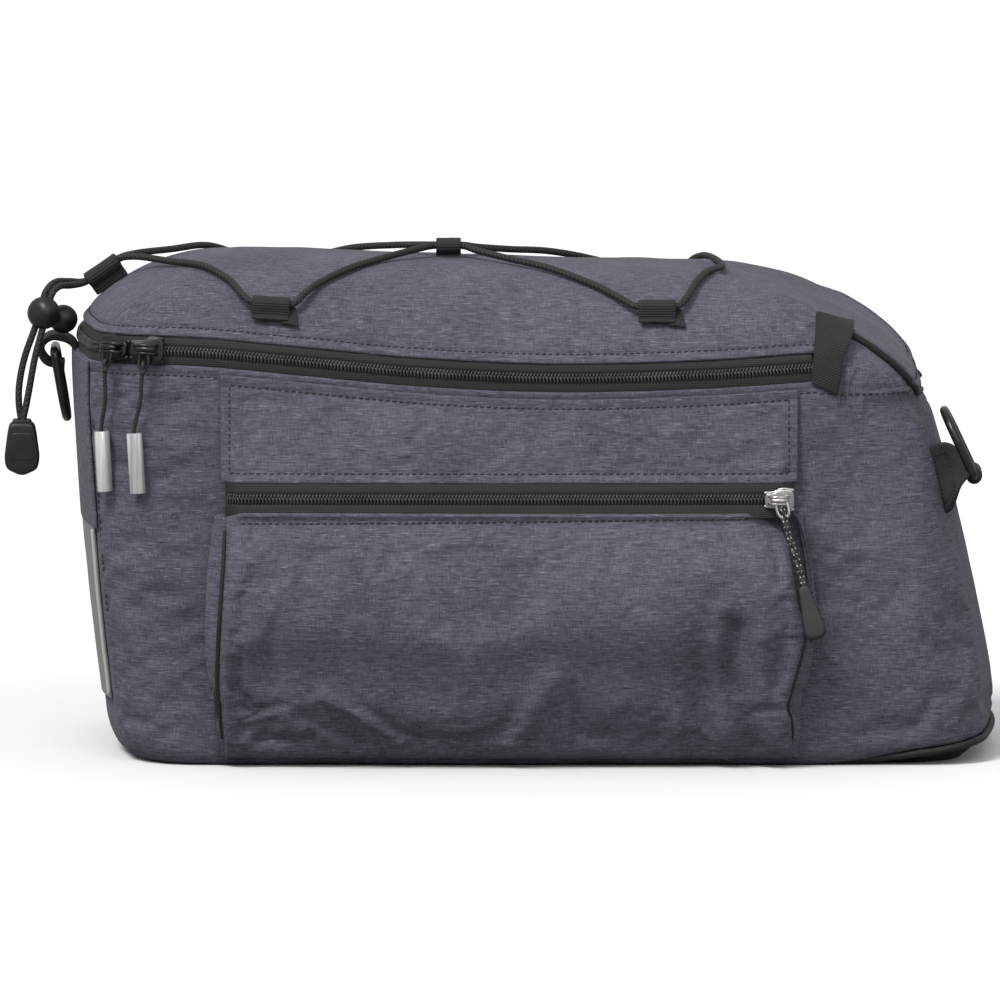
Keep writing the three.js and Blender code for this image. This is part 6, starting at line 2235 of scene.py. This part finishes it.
def zip_end_tab(side):
    """Ribbed webbing over the end of the main zip."""
    low = float(body_edge(np.array([float(ZIP_STOP)]))[0]) + 2 * GAP
    start = float(outline_at(np.array([float(ZIP_STOP)]), np.array([low]))[0][0]) - 0.0012
    ups, acrosses = np.linspace(0, 1, 30), np.linspace(0, 1, 22)
    width = mix(END_TAB_FOOT, END_TAB_TOP, ups)[:, None]
    climb = END_TAB_HEIGHT[side] * ups[:, None]
    z = low + climb - END_TAB_DROP * acrosses[None]
    x = start + acrosses[None] * width + math.tan(END_TAB_LEAN) * climb
    k = skin_step_at(x, z)
    over_lid = 0.0019 * smooth((k - ZIP_STOP - 0.2) / 1.2) * smooth((ups[:, None] - 0.45) / 0.3)
    grid = off_skin(k, level_at(k, z), LID_OVERLAP * clip01(k - ZIP_STOP) + over_lid + END_TAB_OUT + 2 * GAP)
    n = grid_normals(grid)
    n = n * np.where(n[..., 1:2] > 0, -1, 1)
    waves = 0.0009 * noise(grid, (0.012, 0.012, 0.01), 71) + 0.0005 * np.sin(np.pi * ups)[:, None] - 0.0004
    grid = grid + n * waves[..., None]
    g = grid if side == "near" else mirrored(grid)
    facing = grid_normals(g)[15, 10]
    outward = -1 if side == "near" else 1
    obj = plate_object("zip_end_webbing_" + side, g, END_TAB_THICKNESS, WEB, flip=facing[1] * outward < 0)
    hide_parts("zip_end_tab_" + side)


zip_end_tab("near")
zip_end_tab("far")

# Rings and their webbing


def bow_line():
    """The middle of the wire of a D-ring: its bar along y through the origin, its bow to +z."""
    half = RING_INSIDE / 2 + RING_WIRE
    points = [
        (half - RING_BEND + RING_BEND * math.cos(a), RING_BEND + RING_BEND * math.sin(a))
        for a in np.linspace(-np.pi / 2, 0, 9)
    ]
    points += [
        (half * math.cos(a), RING_REACH - half + half * math.sin(a)) for a in np.linspace(0, np.pi, 40)
    ]
    points += [(-y, z) for y, z in points[8::-1]]
    points += [(y, 0.0) for y in np.linspace(-half + RING_BEND, half - RING_BEND, 12)[1:-1]]
    return np.array([(0, y, z) for y, z in points])


def ring_object(name, bar, angle):
    line = bow_line()
    turned = np.stack([line[:, 2] * math.sin(angle), line[:, 1], line[:, 2] * math.cos(angle)], -1) + bar
    wire = wire_part(turned, RING_WIRE * 0.97, 18, closed=True)
    formed(name + "_wire", [wire], RING_METAL, name, body=name)


REAR_BAR = np.array((float(rear_x(0.172)) - 0.0095, 0, 0.172))
FRONT_BAR = np.array((float(front_x(0.123)) - FRONT_BOW + 0.0175, -0.046, 0.123))
rear_face = REAR - GAP - FLAP_THICKNESS - RING_WIRE - DRAPE_GAP
rear_lean = math.asin(max(-0.9, min(0.9, (REAR_BAR[0] - rear_face) / RING_REACH)))
ring_object("rear_ring", REAR_BAR, math.pi + rear_lean)
ring_object("front_ring", FRONT_BAR, -math.radians(25))

wall = 0.0095 - DRAPE_GAP - GAP - FLAP_THICKNESS
hold = RING_WIRE + GAP + WEBBING + 0.0001
section = [(wall - 0.0006, -0.0092), (wall - 0.0006, -0.003), (wall - 0.0009, 0.001), (wall * 0.5, 0.0029)]
section += [(hold * math.sin(a), hold * math.cos(a)) for a in np.linspace(0, -np.pi, 9)]
section += [(wall * 0.45, -0.0035), (wall - 0.0021, -0.0046), (wall - 0.0021, -0.0098)]
axes = ((1, 0, 0), (0, 0, 1), (0, -1, 0))
ribbon(
    "rear_ring_webbing",
    section,
    RING_TAB_WIDTH,
    REAR_BAR,
    axes,
    WEB,
    "rear_tab",
    thickness=2 * WEBBING,
    waves=0.0004,
)


TAB_TACK = (0.0017, 0.0014, 0.00028)
FRONT_TAB_SEWN = 0.0275  # its width where it is sewn on


def front_tab():
    station = np.array([36.3])
    seam_level = level_at(station, np.array([0.121]))
    sewn = off_skin(station, seam_level, np.full(1, DRAPE_GAP + WEBBING))[0]
    normal = skin_normal(station, seam_level)[0]
    up = unit(skin(station, seam_level + 0.05)[0] - skin(station, seam_level - 0.05)[0])
    end = FRONT_BAR + np.array((-0.001, 0, hold))
    rows = []
    for share in np.linspace(0, 1, 30):
        middle = mix(sewn, end, share) + normal * 0.003 * math.sin(math.pi * share)
        row = []
        for a in np.linspace(-1, 1, 19):
            turn = mix(1 - (1 - share) ** 3.4, smooth(np.array(share)) ** 1.3, (a + 1) / 2)
            wide = unit(mix(up, np.array((0, 1.0, 0)), turn))
            row.append(middle + wide * mix(FRONT_TAB_SEWN, RING_TAB_WIDTH - 0.001, turn) / 2 * a)
        rows.append(row)
    half = (RING_TAB_WIDTH - 0.001) / 2
    for a in np.linspace(0.1, 1.55 * np.pi, 20):
        middle = FRONT_BAR + np.array((hold * math.sin(a), 0, hold * math.cos(a)))
        rows.append([middle + np.array((0, 1.0, 0)) * half * b for b in np.linspace(-1, 1, 19)])
    grid = np.array(rows)
    n = grid_normals(grid)
    grid = grid + n * (0.0003 * noise(grid, 0.008, 81))[..., None]
    obj = plate_object("front_ring_webbing", grid, 2 * WEBBING, WEB, flip=n[3, 9].dot(normal) < 0)
    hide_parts("front_tab")
    if n[3, 9].dot(normal) < 0:
        n = -n
    box = []
    for column in (2, 16):
        box.append((grid[1:9, column] + n[1:9, column] * 0.0001, n[1:9, column]))
    for row in (1, 8):
        box.append((grid[row, 2:17] + n[row, 2:17] * 0.0001, n[row, 2:17]))
    stitches("front_ring_webbing_tack", box, THREAD_BLACK, *TAB_TACK)


front_tab()

# Cord lock and stopper

LOCK_BALL = 0.0071
LOCK_BUTTON = 0.0062


def lock():
    axis = unit(LOCK_AXIS)
    turns = np.linspace(0, np.pi, 26)
    profile = [(LOCK_BALL * math.sin(a), -LOCK_BALL * math.cos(a)) for a in turns]
    # a shallow dish on the side away from the button
    profile = [(r, h + 0.0011 * float(bell(np.array(r / 0.0042))) if h < 0 else h) for r, h in profile]
    ball = turned_part(profile, LOCK_AT, axis, 48, closed=False)
    formed("lock_ball", [ball], PLASTIC, "cord_lock", crease=60)
    middle = 0.0066 + 2 * GAP + 0.002 + LOCK_BUTTON
    profile = [(0.0023, 0.0035), (0.0023, middle - LOCK_BUTTON + 0.0004)]
    profile += [
        (max(0.0023, LOCK_BUTTON * math.sin(a)), middle - LOCK_BUTTON * math.cos(a)) for a in turns[3:-1]
    ]
    profile += [(0.0001, middle + LOCK_BUTTON)]
    ball = turned_part(profile, LOCK_AT, axis, 40, closed=False)
    formed("lock_button_ball", [ball], PLASTIC, "cord_lock_button", body="lock_button", crease=60)


lock()

outline = rounded(
    [
            (-0.0052, 0),
            (0.0052, 0),
            (0.0062, -0.004),
            (0.0077, -0.0155),
            (0.0068, -0.0205),
            (0, -0.0235),
            (-0.0068, -0.0205),
            (-0.0077, -0.0155),
            (-0.0062, -0.004),
        ],
    0.0022,
)
collar = rounded([(-0.0041, 0.0012), (0.0041, 0.0012), (0.0044, -0.003), (-0.0044, -0.003)], 0.0012)
slot = rounded([(-0.0044, -0.0045), (0.0044, -0.0045), (0.0058, -0.0165), (-0.0058, -0.0165)], 0.002)
stopper_axes = ((1, 0, 0), (0, 0, 1), (0, -1, 0))
stopper = formed(
    "lace_stopper",
    [
        pillow_part(outline, 0.0085, 0.0019, STOPPER_AT, stopper_axes, dome=0.0003),
        pillow_part(collar, 0.0072, 0.0012, STOPPER_AT, stopper_axes),
        pillow_part(slot, 0.0093, 0.0004, STOPPER_AT, stopper_axes),
    ],
    PLASTIC,
    "cord_stopper",
)

# Stitching


def seam_stitch_height(k):
    """Height of the stitches under the seam. They drop a little towards the front."""
    forward = clip01((outline_at(k, SEAM_HEIGHT)[..., 0] - 0.135) / 0.06)
    return SEAM_HEIGHT - 0.0026 - 0.0024 * forward


WALL_STITCH = (0.0029, 0.0021, 0.00036)  # spacing, length and radius of the thread
STITCH_K = np.linspace(-ZIP_STOP, ZIP_STOP, 900)
lines = [wall_line(STITCH_K, lambda k: body_edge(k) - HEM)]
for sign in (-1, 1):
    seam_k = np.linspace(ZIP_STOP, FRONT_START, 120) * sign
    lines.append(wall_line(seam_k, seam_stitch_height))
    upright_z = np.linspace(0.032, 0.152, 90)
    upright_k = np.full(90, sign * (SIDE_SEAM_STEP + 0.36))
    level = level_at(upright_k, upright_z)
    p = skin(upright_k, level)
    n = skin_normal(upright_k, level)
    lines.append((p + n * body_relief(upright_k, p, upright_z, body_edge(upright_k))[..., None], n))
stitches("wall_stitches", lines, THREAD, *WALL_STITCH)

lid_line, lid_faces = line_at(lid_p, lid_n, reach_up(lid_p), HEM)
order = np.argsort(((ALL_K + HALF) % (2 * HALF)))
stitches("lid_stitches", [(lid_line[order], lid_faces[order])], THREAD, *WALL_STITCH)

for side in ("near", "far"):
    mirror = np.array((1, 1 if side == "near" else -1, 1))
    rows = []
    up = reach_up(panel_p)
    low, faces = line_at(panel_p, panel_n, up, HEM)
    rows.append((low[2:-2] * mirror, faces[2:-2] * mirror))
    high, faces = line_at(panel_p[::-1], panel_n[::-1], (up[-1:] - up)[::-1], HEM)
    rows.append((high[2:-2] * mirror, faces[2:-2] * mirror))
    for column in (2, -3):
        rows.append((panel_p[3:-3, column] * mirror, panel_n[3:-3, column] * mirror))
    pouch_part, pouch_faces = pouch_p[40:, 20:-22], pouch_n[40:, 20:-22]
    up = reach_up(pouch_part)
    top, faces = line_at(pouch_part[::-1], pouch_faces[::-1], (up[-1:] - up)[::-1], HEM)
    rows.append((top * mirror, faces * mirror))
    stitches("pocket_stitches_" + side, rows, THREAD, *WALL_STITCH)

# Stage and light


def sun(name, towards, strength, spread):
    data = bpy.data.lights.new(name, "SUN")
    data.energy = strength
    data.angle = math.radians(spread)
    lamp = bpy.data.objects.new(name, data)
    SCENE.collection.objects.link(lamp)
    lamp.rotation_euler = Vector(towards).to_track_quat("-Z", "Y").to_euler()


def stage():
    reach = 30
    corners = [(-reach, -reach, 0), (reach, -reach, 0), (reach, reach, 0), (-reach, reach, 0)]
    mesh = mesh_from("floor", corners, [(0, 1, 2, 3)])
    tree = Tree("floor_paper")
    place = tree.add("ShaderNodeTexCoord").outputs["Object"]
    soft = tree.noise(place, scale=1.5, detail=1.0)
    shade = tree.ramp(soft, [(0.3, (0.955, 0.955, 0.955)), (0.7, (0.965, 0.965, 0.965))])
    seen = tree.add("ShaderNodeLightPath").outputs["Is Camera Ray"]
    material = tree.set(colour=tree.blend(seen, (0.3, 0.3, 0.3), shade), rough=0.9, specular=0.1)
    floor = bpy.data.objects.new("floor", mesh)
    SCENE.collection.objects.link(floor)
    mesh.materials.append(material)
    floor.location = (0, 0, CAD_BOX[0][2] - 0.0003)
    world = bpy.data.worlds.new("studio")
    world.use_nodes = True
    world.node_tree.nodes["Background"].inputs[0].default_value = (1, 1, 1, 1)
    world.node_tree.nodes["Background"].inputs[1].default_value = WORLD_STRENGTH
    SCENE.world = world
    sun("key", (0.5, 0.7, -1.1), KEY_STRENGTH, 22)
    sun("window", (-0.25, 0.9, -0.65), FILL_STRENGTH, 40)
    SCENE.view_settings.view_transform = "Standard"


WORLD_STRENGTH = 0.53
KEY_STRENGTH = 2.05
FILL_STRENGTH = 0.5

stage()
